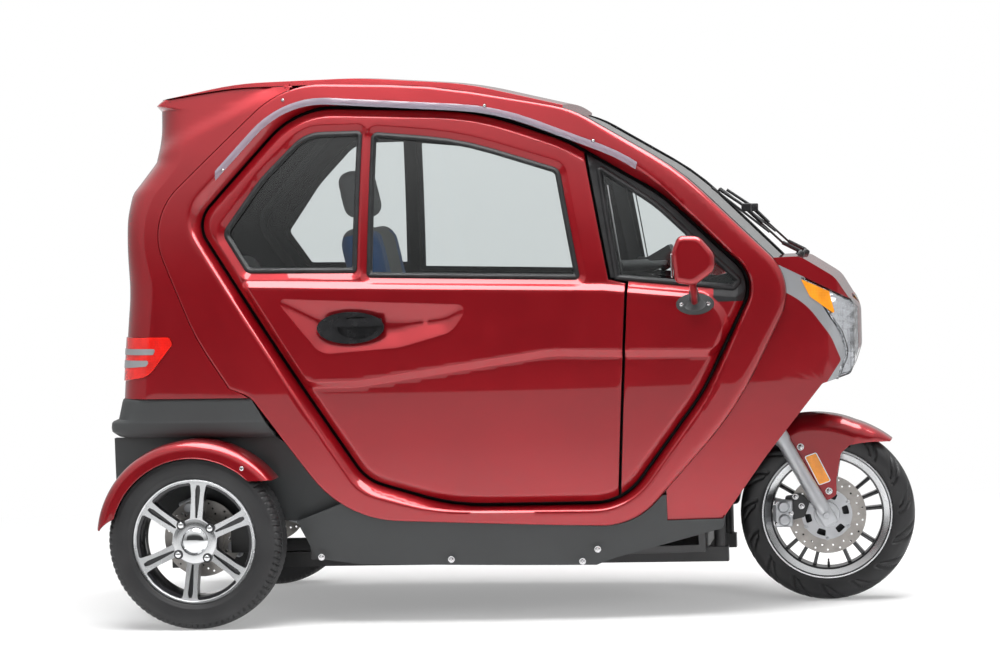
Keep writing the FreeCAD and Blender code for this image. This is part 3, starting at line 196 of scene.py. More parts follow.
def smooth(obj, degrees=35.0):
    only(obj)
    bpy.ops.object.shade_smooth_by_angle(angle=math.radians(degrees))
    return obj


def rounded_edges(obj, width, segments=2, degrees=35.0):
    """Round every edge that turns more than an angle, then smooth the rest."""
    modifier(obj, "BEVEL", width=width * MM, segments=segments, limit_method="ANGLE",
             angle_limit=math.radians(degrees), use_clamp_overlap=True, loop_slide=False)
    return smooth(obj, degrees)


def linked(name, data):
    """A new object in the scene."""
    obj = bpy.data.objects.new(name, data)
    bpy.context.scene.collection.objects.link(obj)
    return obj


def mesh_object(name, vertices, faces):
    mesh = bpy.data.meshes.new(name)
    mesh.from_pydata(vertices, [], faces)
    mesh.update()
    return linked(name, mesh)


def outward(obj, merge=0.0):
    """Merge the points that lie within some millimetres, and turn every face outward."""
    edit(obj)
    if merge:
        bpy.ops.mesh.remove_doubles(threshold=merge * MM)
    bpy.ops.mesh.normals_make_consistent(inside=False)
    return done(obj)


def facing(obj, score):
    """Turn an open shell over if its faces look the wrong way by their score."""
    if sum(score(face) for face in obj.data.polygons) < 0:
        obj.data.flip_normals()
    return obj


def copy_of(node, name):
    """A merged copy of a CAD node's mesh, as a piece of its own."""
    obj = linked(name, frame["nodes"][node].data.copy())
    edit(obj)
    bpy.ops.mesh.customdata_custom_splitnormals_clear()
    bpy.ops.mesh.remove_doubles(threshold=0.02 * MM)
    return done(obj)


def twin(obj, name):
    """The left-hand piece that mirrors a right-hand one."""
    other = linked(name, obj.data.copy())
    other.data.transform(Matrix.Scale(-1, 4, (0, 1, 0)))
    other.data.flip_normals()
    return other


def joined(name, *objects):
    only(*objects)
    if len(objects) > 1:
        bpy.ops.object.join()
    obj = bpy.context.object
    obj.name = name
    obj.data.name = name
    return obj


def settle(obj):
    """Put the place of a piece into its mesh."""
    only(obj)
    bpy.ops.object.transform_apply(location=True, rotation=True, scale=True)
    return obj


def paint_with(obj, *materials):
    slots = obj.data.materials
    for index, material in enumerate(materials):
        if index < len(slots):
            slots[index] = material
        else:
            slots.append(material)
    while len(slots) > len(materials):
        slots.pop()
    return obj


def hand_over(obj, body, slot, *materials, replaces=()):
    """Give a finished piece its materials and its body, and hide the nodes that it stands for; slot
    is not used.
    """
    settle(obj)
    if materials:
        paint_with(obj, *materials)
    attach(obj, body)
    if replaces:
        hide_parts(*replaces)
    return obj


# ---------------------------------------------------------------- outlines on the body side
def unit(u, v):
    length = math.hypot(u, v)
    return u / length, v / length


def grown(corners, distance):
    """Move every edge of a closed outline outward by distance, with concentric corner arcs."""
    count = len(corners)
    area = sum(corners[i][0] * corners[(i + 1) % count][1]
               - corners[(i + 1) % count][0] * corners[i][1]
               for i in range(count))
    turn = 1.0 if area > 0 else -1.0
    result = []
    for i in range(count):
        before, here, after = corners[i - 1], corners[i], corners[(i + 1) % count]
        ax, ay = unit(here[0] - before[0], here[1] - before[1])
        bx, by = unit(after[0] - here[0], after[1] - here[1])
        cross = ax * by - ay * bx
        nax, nay = ay * turn * distance, -ax * turn * distance
        nbx, nby = by * turn * distance, -bx * turn * distance
        step = ((nbx - nax) * by - (nby - nay) * bx) / cross
        convex = cross * turn > 0
        radius = here[2] + (distance if convex else -distance) if here[2] > 0 else 0
        result.append((here[0] + nax + ax * step, here[1] + nay + ay * step, max(radius, 0)))
    return result


ARC_TURN = math.radians(5)    # the most that a corner arc turns from one point to the next


def walked(corners, step=9.0):
    """Points along a closed outline, with its corner arcs and long straights in short steps."""
    points = []
    for i, (u, v, radius) in enumerate(corners):
        here = Vector((u, v))
        a = (Vector(corners[i - 1][:2]) - here).normalized()
        b = (Vector(corners[(i + 1) % len(corners)][:2]) - here).normalized()
        half = a.angle(b) / 2
        if radius < 0.5 or half > math.pi / 2 - 0.001:
            points.append(here)
            continue
        centre = here + (a + b).normalized() * radius / math.sin(half)
        spoke = here + a * (radius / math.tan(half)) - centre
        last = here + b * (radius / math.tan(half)) - centre
        sweep = spoke.angle_signed(last)
        count = max(2, math.ceil(abs(sweep) / ARC_TURN))
        for k in range(count + 1):
            points.append(centre + Matrix.Rotation(-sweep * k / count, 2) @ spoke)
    return refined(points, step)


def refined(points, step):
    """Divide the long runs of a closed chain of points."""
    result = []
    for i, start in enumerate(points):
        stop = points[(i + 1) % len(points)]
        run = (stop - start).length
        if run < 0.05:
            continue
        parts = max(1, round(run / step))
        result += [start.lerp(stop, k / parts) for k in range(parts)]
    return np.array([tuple(p) for p in result])


def distance(points, loop):
    """How far points lie inside a closed loop, negative outside it."""
    px, pz = points[:, 0], points[:, 1]
    best = np.full(len(points), 1e12)
    inside = np.zeros(len(points), bool)
    for (ax, az), (bx, bz) in zip(loop, np.roll(loop, -1, axis=0)):
        ux, uz = bx - ax, bz - az
        along = np.clip(((px - ax) * ux + (pz - az) * uz) / (ux * ux + uz * uz), 0, 1)
        best = np.minimum(best, (px - ax - along * ux) ** 2 + (pz - az - along * uz) ** 2)
        if az != bz:
            inside ^= ((az > pz) != (bz > pz)) & (px < ux * (pz - az) / uz + ax)
    return np.where(inside, 1, -1) * np.sqrt(best)


def ease(value, width):
    """0 to 1 over a width, soft at both ends."""
    t = np.clip(value / width, 0, 1)
    return t * t * (3 - 2 * t)


def edge_drop(value, radius):
    """How far a rounded edge falls below its face, by the distance in from the edge."""
    near = np.clip(radius - value, 0, radius)
    return radius - np.sqrt(radius ** 2 - near ** 2)


def side_y(x, z, depth):
    """The right-hand body side, in millimetres, at a depth from the door face."""
    out = HALF_WIDTH - SECTION_RADIUS + np.sqrt((SECTION_RADIUS + depth) ** 2 - (z - WIDEST_Z) ** 2)
    return PLAN_RADIUS - HALF_WIDTH - np.sqrt((PLAN_RADIUS - HALF_WIDTH + out) ** 2
                                              - (x - WIDEST_X) ** 2)


def on_side(x, z, depth):
    """A point of the right-hand body side in the frame."""
    return Vector((AHEAD + x * MM, float(side_y(x, z, depth)) * MM, z * MM))


def sheet(name, outline, holes, folds, outer, inner, cell=11.0):
    """A closed sheet cut to a flat outline; outer and inner carry its points into the frame."""
    loops = [outline] + list(holes) + list(folds)
    edges = []
    start = 0
    for loop in loops:
        edges += [(start + k, start + (k + 1) % len(loop)) for k in range(len(loop))]
        start += len(loop)
    low, high = outline.min(0), outline.max(0)
    xs = np.arange(low[0], high[0], cell)
    zs = np.arange(low[1], high[1], cell * 0.87)
    grid = np.array([(x + (row % 2) * cell / 2, z) for row, z in enumerate(zs) for x in xs])
    grid = grid[distance(grid, outline) > cell * 0.5]
    for loop in loops[1:]:
        grid = grid[np.abs(distance(grid, loop)) > cell * 0.4]
    points = np.concatenate(loops + [grid])
    flat, _, triangles, *_ = delaunay_2d_cdt([Vector(p) for p in points], edges, [], 0, 0.02, False)
    flat = np.array([tuple(p) for p in flat])
    triangles = np.array([tuple(t) for t in triangles])
    centres = flat[triangles].mean(1)
    inside = distance(centres, outline) > 0
    for hole in holes:
        inside &= distance(centres, hole) < 0
    triangles = triangles[inside]
    count = len(flat)
    sides = np.concatenate([triangles[:, [0, 1]], triangles[:, [1, 2]], triangles[:, [2, 0]]])
    known = {tuple(side) for side in sides.tolist()}
    rim = [(a, b) for a, b in known if (b, a) not in known]
    faces = triangles.tolist() + [(c + count, b + count, a + count)
                                  for a, b, c in triangles.tolist()]
    faces += [(b, a, a + count, b + count) for a, b in rim]
    vertices = np.concatenate([outer(flat), inner(flat)])
    obj = mesh_object(name, vertices.tolist(), faces)
    marks = np.ones(len(faces), np.int32)
    marks[:len(triangles)] = 0
    obj.data.materials.append(None)
    obj.data.materials.append(None)
    obj.data.polygons.foreach_set("material_index", marks)
    edit(obj)
    bpy.ops.mesh.delete_loose()
    bpy.ops.mesh.select_all(action="SELECT")
    bpy.ops.mesh.normals_make_consistent(inside=False)
    return weighted(smooth(done(obj), 38.0), "FACE_AREA_WITH_ANGLE")


def pressed_panel(name, outline, holes, folds, depth_at, back, cell=11.0):
    """A sheet on the right of the body, with its outer depth by place and a plain back."""
    def outer(flat):
        y = side_y(flat[:, 0], flat[:, 1], depth_at(flat))
        return np.stack([AHEAD + flat[:, 0] * MM, y * MM, flat[:, 1] * MM], 1)

    def inner(flat):
        y = side_y(flat[:, 0], flat[:, 1], np.full(len(flat), back))
        return np.stack([AHEAD + flat[:, 0] * MM, y * MM, flat[:, 1] * MM], 1)
    return sheet(name, outline, holes, folds, outer, inner, cell)


def plate(name, outline, holes=(), low=0.0, high=1.0, y=0.0, cell=30.0, x=0.0, z=0.0,
          two_tone=False):
    """A flat plate across the car, between two distances outboard of y, on the right-hand side."""
    def at_depth(depth):
        return lambda flat: np.stack([AHEAD + (flat[:, 0] + x) * MM,
                                      np.full(len(flat), (y - depth) * MM),
                                      (flat[:, 1] + z) * MM], 1)
    obj = sheet(name, outline, list(holes), [], at_depth(high), at_depth(low), cell)
    if not two_tone:
        obj.data.polygons.foreach_set("material_index", np.zeros(len(obj.data.polygons), np.int32))
    return smooth(obj, 30.0)


def weighted(obj, mode="FACE_AREA"):
    """Let the large faces keep their own direction where they meet narrow ones."""
    return modifier(obj, "WEIGHTED_NORMAL", mode=mode, weight=50, keep_sharp=True)


def bend(value, width=FOLD):
    """A fold: flat before zero and rising after it, rounded over a narrow width."""
    return np.where(value > width, value,
                    np.where(value < -width, 0.0, (value + width) ** 2 / (4 * width)))


def ramp(value, length, width=FOLD):
    """0 to 1 over a length, with a fold at each end."""
    return (bend(value, width) - bend(value - length, width)) / length


def fold_lines(corners, *offsets, width=FOLD):
    """Loops on both sides of the folds that lie at some distances inside an outline."""
    return [walked(grown(corners, -offset + side)) for offset in offsets
            for side in (width, -width)]


def circle(radius, count=48, x=0.0, z=0.0):
    angles = np.arange(count) * 2 * math.pi / count
    return np.stack([x + radius * np.cos(angles), z + radius * np.sin(angles)], 1)


def turned(name, profile, steps=64, at=(0, 0, 0), axis=(0, 1, 0)):
    """A round piece: (radius, along) in millimetres, spun about a line from at, in metres."""
    bpy.ops.object.select_all(action="DESELECT")
    bpy.ops.mesh.primitive_plane_add(size=MM, location=(0, profile[0][1] * MM, profile[0][0] * MM))
    obj = bpy.context.object
    obj.name = name
    obj.data.name = name
    settle(obj)
    edit(obj)
    bpy.ops.mesh.select_mode(type="VERT")
    bpy.ops.mesh.merge(type="CENTER")
    for (r0, a0), (r1, a1) in zip(profile, profile[1:]):
        shift = (0, (a1 - a0) * MM, (r1 - r0) * MM)
        bpy.ops.mesh.extrude_vertices_move(TRANSFORM_OT_translate={"value": shift})
    bpy.ops.mesh.select_all(action="SELECT")
    bpy.ops.mesh.spin(steps=steps, angle=2 * math.pi, center=(0, 0, 0), axis=(0, 1, 0))
    bpy.ops.mesh.select_all(action="SELECT")
    bpy.ops.mesh.remove_doubles(threshold=0.01 * MM)
    bpy.ops.mesh.normals_make_consistent(inside=False)
    done(obj)
    turn = Vector((0, 1, 0)).rotation_difference(Vector(axis)).to_matrix().to_4x4()
    obj.data.transform(Matrix.Translation(at) @ turn)
    return smooth(obj, 32.0)


def block(name, low, high, edge=3.0, segments=2):
    """A rounded block between two corners given in millimetres ahead of the rear axle."""
    bpy.ops.object.select_all(action="DESELECT")
    low, high = Vector(low), Vector(high)
    bpy.ops.mesh.primitive_cube_add(size=1.0)
    obj = bpy.context.object
    obj.name = name
    obj.data.name = name
    size = (high - low) * MM
    middle_point = (high + low) / 2 * MM + Vector((AHEAD, 0, 0))
    obj.data.transform(Matrix.Translation(middle_point) @ Matrix.Diagonal((*size, 1.0)))
    edit(obj)
    bpy.ops.mesh.bevel(offset=edge * MM, segments=segments, affect="EDGES")
    done(obj)
    return weighted(smooth(obj, 50.0))


def loft(name, rings):
    """A closed form with flat ends, through rings of points in metres, all of one length."""
    size = len(rings[0])
    vertices = [tuple(point) for ring in rings for point in ring]
    faces = [(k * size + i, k * size + (i + 1) % size, (k + 1) * size + (i + 1) % size,
              (k + 1) * size + i)
             for k in range(len(rings) - 1) for i in range(size)]
    faces += [tuple(range(size))[::-1], tuple(range((len(rings) - 1) * size, len(rings) * size))]
    return outward(mesh_object(name, vertices, faces))


def tube(name, points, radius, resolution=6):
    """A round bar through points given in metres."""
    curve = bpy.data.curves.new(name, "CURVE")
    curve.dimensions = "3D"
    curve.bevel_depth = radius * MM
    curve.bevel_resolution = resolution
    curve.use_fill_caps = True
    line = curve.splines.new("POLY")
    line.points.add(len(points) - 1)
    for place, point in zip(line.points, points):
        place.co = (*point, 1.0)
    only(linked(name, curve))
    bpy.ops.object.convert(target="MESH")
    return smooth(bpy.context.object, 40.0)


def repeated(name, source, places):
    """Copies of one piece at several places, joined; the source goes away."""
    copies = []
    for place in places:
        other = linked(name, source.data.copy())
        other.data.transform(place)
        copies.append(other)
    bpy.data.objects.remove(source)
    return joined(name, *copies) if len(copies) > 1 else copies[0]


def cut_with(obj, cutter, operation="DIFFERENCE"):
    modifier(obj, "BOOLEAN", object=cutter, operation=operation, solver="EXACT")
    bpy.data.objects.remove(cutter)
    if not obj.data.polygons:
        raise RuntimeError(f"nothing is left of {obj.name} after a cut")
    return obj


def bolts(name, spots, direction, radius=6.0, height=4.0):
    """Domed screw heads on washers, at spots in metres, with their heads along one direction."""
    head = turned(name + "_head",
                  [(0, height), (radius * 0.30, height), (radius * 0.36, height * 0.55),
                   (radius * 0.42, height), (radius * 0.8, height * 0.75), (radius, height * 0.3),
                   (radius, 0.3), (radius * 1.35, 0.3), (radius * 1.35, -1.0), (0, -1.0)], 20)
    turn = Vector((0, 1, 0)).rotation_difference(Vector(direction)).to_matrix().to_4x4()
    return repeated(name, head, [Matrix.Translation(spot) @ turn for spot in spots])


def spot(x, y, z):
    """A point in the frame from millimetres ahead of the rear axle, left and up."""
    return Vector((AHEAD + x * MM, y * MM, z * MM))


# ---------------------------------------------------------------- materials
def finish(name, color, roughness=0.5, metallic=0.0, **sockets):
    """A Principled material; other sockets are named with underscores."""
    material = bpy.data.materials.new(name)
    material.use_nodes = True
    shader = material.node_tree.nodes["Principled BSDF"]
    shader.inputs["Base Color"].default_value = (*color, 1.0)
    shader.inputs["Roughness"].default_value = roughness
    shader.inputs["Metallic"].default_value = metallic
    for socket, value in sockets.items():
        shader.inputs[socket.replace("_", " ")].default_value = value
    return material


def add_node(tree, kind, **settings):
    """A shader node with sockets, blanks as underscores, and properties set by name."""
    node = tree.nodes.new("ShaderNode" + kind)
    for name, value in settings.items():
        socket = name.replace("_", " ")
        if socket in node.inputs:
            node.inputs[socket].default_value = value
        else:
            setattr(node, name, value)
    return node


def texture(material, kind, scale, stretch=(1, 1, 1), **settings):
    """A texture node on the Object coordinates, and its tree."""
    tree = material.node_tree
    place = add_node(tree, "TexCoord")
    mapping = add_node(tree, "Mapping", Scale=stretch)
    node = add_node(tree, kind, Scale=scale, **settings)
    tree.links.new(place.outputs["Object"], mapping.inputs["Vector"])
    tree.links.new(mapping.outputs["Vector"], node.inputs["Vector"])
    return tree, node


def spread(tree, source, low, high):
    """Map a texture's middle range to low and high."""
    remap = add_node(tree, "MapRange", From_Min=0.3, From_Max=0.7, To_Min=low, To_Max=high)
    tree.links.new(source, remap.inputs["Value"])
    return remap.outputs["Result"]


NOISE, CELLS, WAVES = "TexNoise", "TexVoronoi", "TexWave"


def vary_roughness(material, scale, low, high):
    tree, node = texture(material, NOISE, scale, Detail=4.0)
    tree.links.new(spread(tree, node.outputs["Fac"], low, high),
                   tree.nodes["Principled BSDF"].inputs["Roughness"])
    return material


def vary_color(material, kind, output, scale, first, second, **settings):
    tree, node = texture(material, kind, scale, **settings)
    mix = add_node(tree, "Mix", data_type="RGBA", A=(*first, 1.0), B=(*second, 1.0))
    tree.links.new(spread(tree, node.outputs[output], 0.0, 1.0), mix.inputs["Factor"])
    tree.links.new(mix.outputs["Result"], tree.nodes["Principled BSDF"].inputs["Base Color"])
    return material


def bumps(material, kind, output, scale, height, strength=1.0, stretch=(1, 1, 1), **settings):
    """Raise the surface by a texture; height is in metres."""
    tree, node = texture(material, kind, scale, stretch, **settings)
    bump = add_node(tree, "Bump", Strength=strength, Distance=height)
    tree.links.new(node.outputs[output], bump.inputs["Height"])
    tree.links.new(bump.outputs["Normal"], tree.nodes["Principled BSDF"].inputs["Normal"])
    return material


def shade(color, factor):
    return tuple(min(1.0, c * factor) for c in color)


def make_materials():
    looks = bpy.context.scene.trike_looks
    red, grey = tuple(looks.paint), tuple(looks.trim)
    made = {}
    paint = finish("candy_paint", red, 0.32, 0.62, Coat_Weight=1.0, Coat_Roughness=0.03,
                   Coat_IOR=1.5)
    vary_color(paint, NOISE, "Fac", 3.0, shade(red, 0.86), red, Detail=4.0)
    made["paint"] = vary_roughness(paint, 14.0, 0.29, 0.35)
    trim = finish("moulded_trim", grey, 0.58)
    vary_color(trim, NOISE, "Fac", 6.0, grey, shade(grey, 1.2), Detail=6.0)
    made["trim"] = bumps(trim, NOISE, "Fac", 1600.0, 0.0002, 0.35, Detail=3.0)
    rubber = vary_color(finish("seal_rubber", (0.014, 0.014, 0.015), 0.45, Specular_IOR_Level=0.35),
                        NOISE, "Fac", 30.0, (0.010, 0.010, 0.011), (0.018, 0.018, 0.019))
    made["rubber"] = bumps(rubber, NOISE, "Fac", 300.0, 0.00005, 0.3)
    handle = finish("handle_plastic", (0.012, 0.012, 0.013), 0.22, Coat_Weight=0.3)
    vary_color(handle, NOISE, "Fac", 24.0, (0.009, 0.009, 0.010), (0.016, 0.016, 0.017))
    made["handle"] = vary_roughness(handle, 40.0, 0.18, 0.30)
    interior = vary_color(finish("cabin_trim", (0.008, 0.008, 0.009), 0.7, Specular_IOR_Level=0.12),
                          NOISE, "Fac", 5.0, (0.006, 0.006, 0.007), (0.011, 0.011, 0.012))
    made["interior"] = bumps(interior, NOISE, "Fac", 160.0, 0.0001, 0.3)
    made["glass"] = vary_roughness(finish("window_glass", (0.80, 0.83, 0.83), 0.0,
                                          Transmission_Weight=1.0, IOR=1.45),
                                   8.0, 0.0, 0.012)
    made["visor"] = vary_roughness(finish("visor_strip", (0.30, 0.27, 0.33), 0.14, Alpha=0.62,
                                          Coat_Weight=1.0),
                                   30.0, 0.12, 0.2)
    lens = finish("clear_lens", (0.90, 0.91, 0.92), 0.02, Transmission_Weight=1.0, IOR=1.3)
    made["lens"] = vary_roughness(lens, 12.0, 0.0, 0.02)
    reflector = finish("lamp_reflector", (0.52, 0.53, 0.55), 0.16, 0.9)
    vary_roughness(reflector, 20.0, 0.12, 0.22)
    made["reflector"] = bumps(reflector, CELLS, "Distance", 28.0, 0.006, 0.6, stretch=(1, 0.4, 2.2))
    for name, color, low in (("red", (0.62, 0.010, 0.006), 0.10),
                             ("amber", (0.80, 0.27, 0.01), 0.16)):
        glow = finish(name + "_lens", color, low, Coat_Weight=1.0)
        glow = bumps(glow, CELLS, "Distance", 140.0, 0.0012, 0.5, Randomness=0.0)
        made[name] = vary_color(glow, NOISE, "Fac", 25.0, shade(color, 0.8), shade(color, 1.15))
    silver = finish("silver_trim", (0.40, 0.41, 0.43), 0.34, 0.7, Coat_Weight=0.5)
    vary_color(silver, NOISE, "Fac", 9.0, (0.37, 0.38, 0.40), (0.43, 0.44, 0.46))
    made["silver"] = vary_roughness(silver, 9.0, 0.30, 0.38)
    alloy = finish("machined_alloy", (0.60, 0.61, 0.62), 0.26, 1.0)
    made["alloy"] = vary_roughness(alloy, 9.0, 0.24, 0.29)
    dark = finish("black_alloy", (0.014, 0.014, 0.016), 0.30, 0.2, Coat_Weight=0.6)
    vary_color(dark, NOISE, "Fac", 20.0, (0.011, 0.011, 0.013), (0.020, 0.020, 0.023))
    made["black_alloy"] = vary_roughness(dark, 50.0, 0.26, 0.36)
    made["chrome"] = vary_roughness(finish("bright_chrome", (0.70, 0.71, 0.72), 0.08, 1.0), 20.0,
                                    0.04, 0.10)
    made["bolt"] = vary_roughness(finish("zinc_bolt", (0.72, 0.72, 0.73), 0.22, 1.0), 200.0, 0.16,
                                  0.3)
    disc = finish("disc_steel", (0.36, 0.34, 0.32), 0.38, 0.9)
    vary_color(disc, NOISE, "Fac", 30.0, (0.30, 0.285, 0.27), (0.40, 0.38, 0.36))
    made["disc"] = vary_roughness(disc, 60.0, 0.34, 0.44)
    cast = finish("cast_alloy", (0.46, 0.47, 0.49), 0.38, 0.6)
    vary_color(cast, NOISE, "Fac", 14.0, (0.42, 0.43, 0.45), (0.52, 0.53, 0.55))
    made["cast"] = bumps(cast, NOISE, "Fac", 500.0, 0.0001, 0.3)
    black = finish("black_metal", (0.018, 0.018, 0.019), 0.42, 0.0)
    vary_color(black, NOISE, "Fac", 11.0, (0.014, 0.014, 0.015), (0.026, 0.026, 0.027))
    made["black_metal"] = bumps(black, NOISE, "Fac", 900.0, 0.0002, 0.3)
    tread = finish("tyre_rubber", (0.013, 0.013, 0.014), 0.5, Specular_IOR_Level=0.45)
    vary_color(tread, NOISE, "Fac", 12.0, (0.010, 0.010, 0.011), (0.020, 0.020, 0.021), Detail=8.0)
    made["tyre"] = bumps(tread, NOISE, "Fac", 220.0, 0.00012, 0.3, Detail=4.0)
    for name, color in (("grey_cloth", (0.13, 0.135, 0.14)), ("blue_cloth", (0.015, 0.10, 0.30))):
        cloth = finish(name, color, 0.85, Sheen_Weight=0.35, Sheen_Roughness=0.5)
        vary_color(cloth, NOISE, "Fac", 900.0, shade(color, 0.72), shade(color, 1.2), Detail=2.0)
        made[name] = bumps(cloth, WAVES, "Fac", 320.0, 0.0006, 0.6, stretch=(1, 1, 1),
                           wave_type="BANDS", bands_direction="DIAGONAL")
    case = finish("battery_case", (0.05, 0.052, 0.055), 0.5)
    vary_color(case, NOISE, "Fac", 7.0, (0.045, 0.046, 0.05), (0.062, 0.064, 0.068))
    made["battery"] = bumps(case, NOISE, "Fac", 600.0, 0.0003, 0.4)
    return made


NODE_FINISH = {"body_paint": "paint", "dark_trim": "trim", "clear_glass": "glass",
               "smoked_strip": "visor",
               "lamp_lens": "lens", "red_lens": "red", "silver_trim": "silver", "tyre": "tyre",
               "black_alloy": "black_alloy", "disc_steel": "disc", "fork_metal": "cast",
               "black_metal": "black_metal", "interior": "interior", "seat_cloth": "grey_cloth",
               "battery_case": "battery"}


def finish_nodes():
    """Give every CAD node that stays in view the finish of its slot."""
    for part in frame["record"]["subparts"]:
        paint_with(frame["nodes"][part["node"]], finishes[NODE_FINISH[part["material_slot"]]])


finishes = {}


# ---------------------------------------------------------------- settings a user would change
class TrikeLooks(bpy.types.PropertyGroup):
    """Colours of the car."""
    paint: FloatVectorProperty(name="Paint", description="Candy red of the body panels",
                               subtype="COLOR", default=(0.31, 0.002, 0.008), min=0.0, max=1.0)
    trim: FloatVectorProperty(name="Trim", description="Dark grey of the bumper and sills",
                              subtype="COLOR", default=(0.028, 0.030, 0.031), min=0.0, max=1.0)


class TrikeStage(bpy.types.PropertyGroup):
    """Camera and light."""
    lens: FloatProperty(name="Lens", description="Focal length of the camera in millimetres",
                        default=109.77, min=10)
    sky: FloatProperty(name="Sky", description="Strength of the plain grey surroundings",
                       default=0.32, min=0)
    key: FloatProperty(name="Key light", description="Power of the overhead softbox in watts",
                       default=420.0, min=0)


# ---------------------------------------------------------------- body sides
def slab(loop, low, high):
    """Vertices and faces of a flat plate with a closed outline."""
    count = len(loop)
    vertices = [(x, z, low) for x, z in loop] + [(x, z, high) for x, z in loop]
    faces = [list(range(count))[::-1], list(range(count, 2 * count))]
    faces += [(k, (k + 1) % count, count + (k + 1) % count, count + k) for k in range(count)]
    return vertices, faces


def part_of_opening(front):
    """The outline of the door, or of the fixed front panel, as a fine loop."""
    region = [(x, z, 0) for x, z in SHUT_LINE]
    if front:
        region = grown(region + [(2000, 1600, 0), (2000, 100, 0)], -SHUT_GAP)
    else:
        region = region + [(-300, 1600, 0), (-300, 100, 0)]
    whole = mesh_object("opening", *slab(walked(APERTURE), -40.0, 40.0))
    cutter = mesh_object("region", *slab(walked(region, 60.0), -80.0, 80.0))
    cut_with(outward(whole), outward(cutter), "INTERSECT")
    edit(whole)
    pick_faces(whole, lambda face: face.normal.z > 0.9)
    bpy.ops.mesh.select_all(action="INVERT")
    bpy.ops.mesh.delete(type="FACE")
    done(whole)
    work = bmesh.new()
    work.from_mesh(whole.data)
    edges = [edge for edge in work.edges if edge.is_boundary]
    chain = [edges[0].verts[0], edges[0].verts[1]]
    while chain[-1] is not chain[0]:
        here = chain[-1]
        chain.append(next(edge.other_vert(here) for edge in here.link_edges
                          if edge.is_boundary and edge.other_vert(here) is not chain[-2]))
    loop = [Vector(vert.co[:2]) for vert in chain[:-1]]
    work.free()
    bpy.data.objects.remove(whole)
    return refined(loop, 9.0)


def moulding_height(points):
    """The raised band under the windows, with its scoop for the handle."""
    band = MOULDING_PROUD * ramp(distance(points, walked(MOULDING)), MOULDING_SLOPE)
    scoop = SCOOP_DEPTH * ramp(distance(points, walked(HANDLE_SCOOP)), SCOOP_SLOPE)
    return band - scoop


def inset(loop, step):
    """A closed chain moved inwards."""
    before, after = np.roll(loop, 1, axis=0), np.roll(loop, -1, axis=0)
    along = (after - before) / np.linalg.norm(after - before, axis=1)[:, None]
    moved = loop + np.stack([-along[:, 1], along[:, 0]], 1) * step
    return moved if distance(moved[:1], loop)[0] > 0 else loop - (moved - loop)


def panel_depth(loop, windows):
    """Depth of a door or panel sheet: bevelled edge, sloped window reveals and the moulding."""
    aperture = walked(APERTURE)

    def depth(points):
        result = moulding_height(points)
        result = result - DOOR_EDGE_DROP * (1 - ramp(distance(points, aperture), DOOR_EDGE_SLOPE))
        for window in windows:
            result = result - WINDOW_DROP * (1
                                             - ramp(-distance(points, walked(window)),
                                                    WINDOW_SLOPE))
        return result - edge_drop(distance(points, loop), EDGE_ROUND)
    return depth


def ring_depth(points):
    """Depth of the hoop: a proud, rounded face and a slanted reveal down to the channel."""
    outer = distance(points, walked(RING_OUTER))
    face = bend(distance(points, walked(RING_FACE_INNER)), 5.0)
    hole = np.clip(-distance(points, walked(grown(APERTURE, DOOR_GAP))), 0.01, None)
    reveal = (RING_PROUD - CHANNEL_DEPTH) * face / (face + hole)
    radius = 4.0 + 12.0 * ease(points[:, 0] - 900.0, 400.0)
    near = np.clip(radius - outer, 0, radius)
    return RING_PROUD - reveal - radius + np.sqrt(radius ** 2 - near ** 2)


def both_sides(right, name, body, slot, node, *materials):
    """Name a right-hand piece, and hand it over with its mirrored twin."""
    right.name = name + "_right"
    left = twin(right, name + "_left")
    for obj, side in ((right, "right"), (left, "left")):
        replaced = (f"{node}_{side}",) if node else ()
        hand_over(obj, body.format(side), slot, *materials, replaces=replaced)
    return right, left


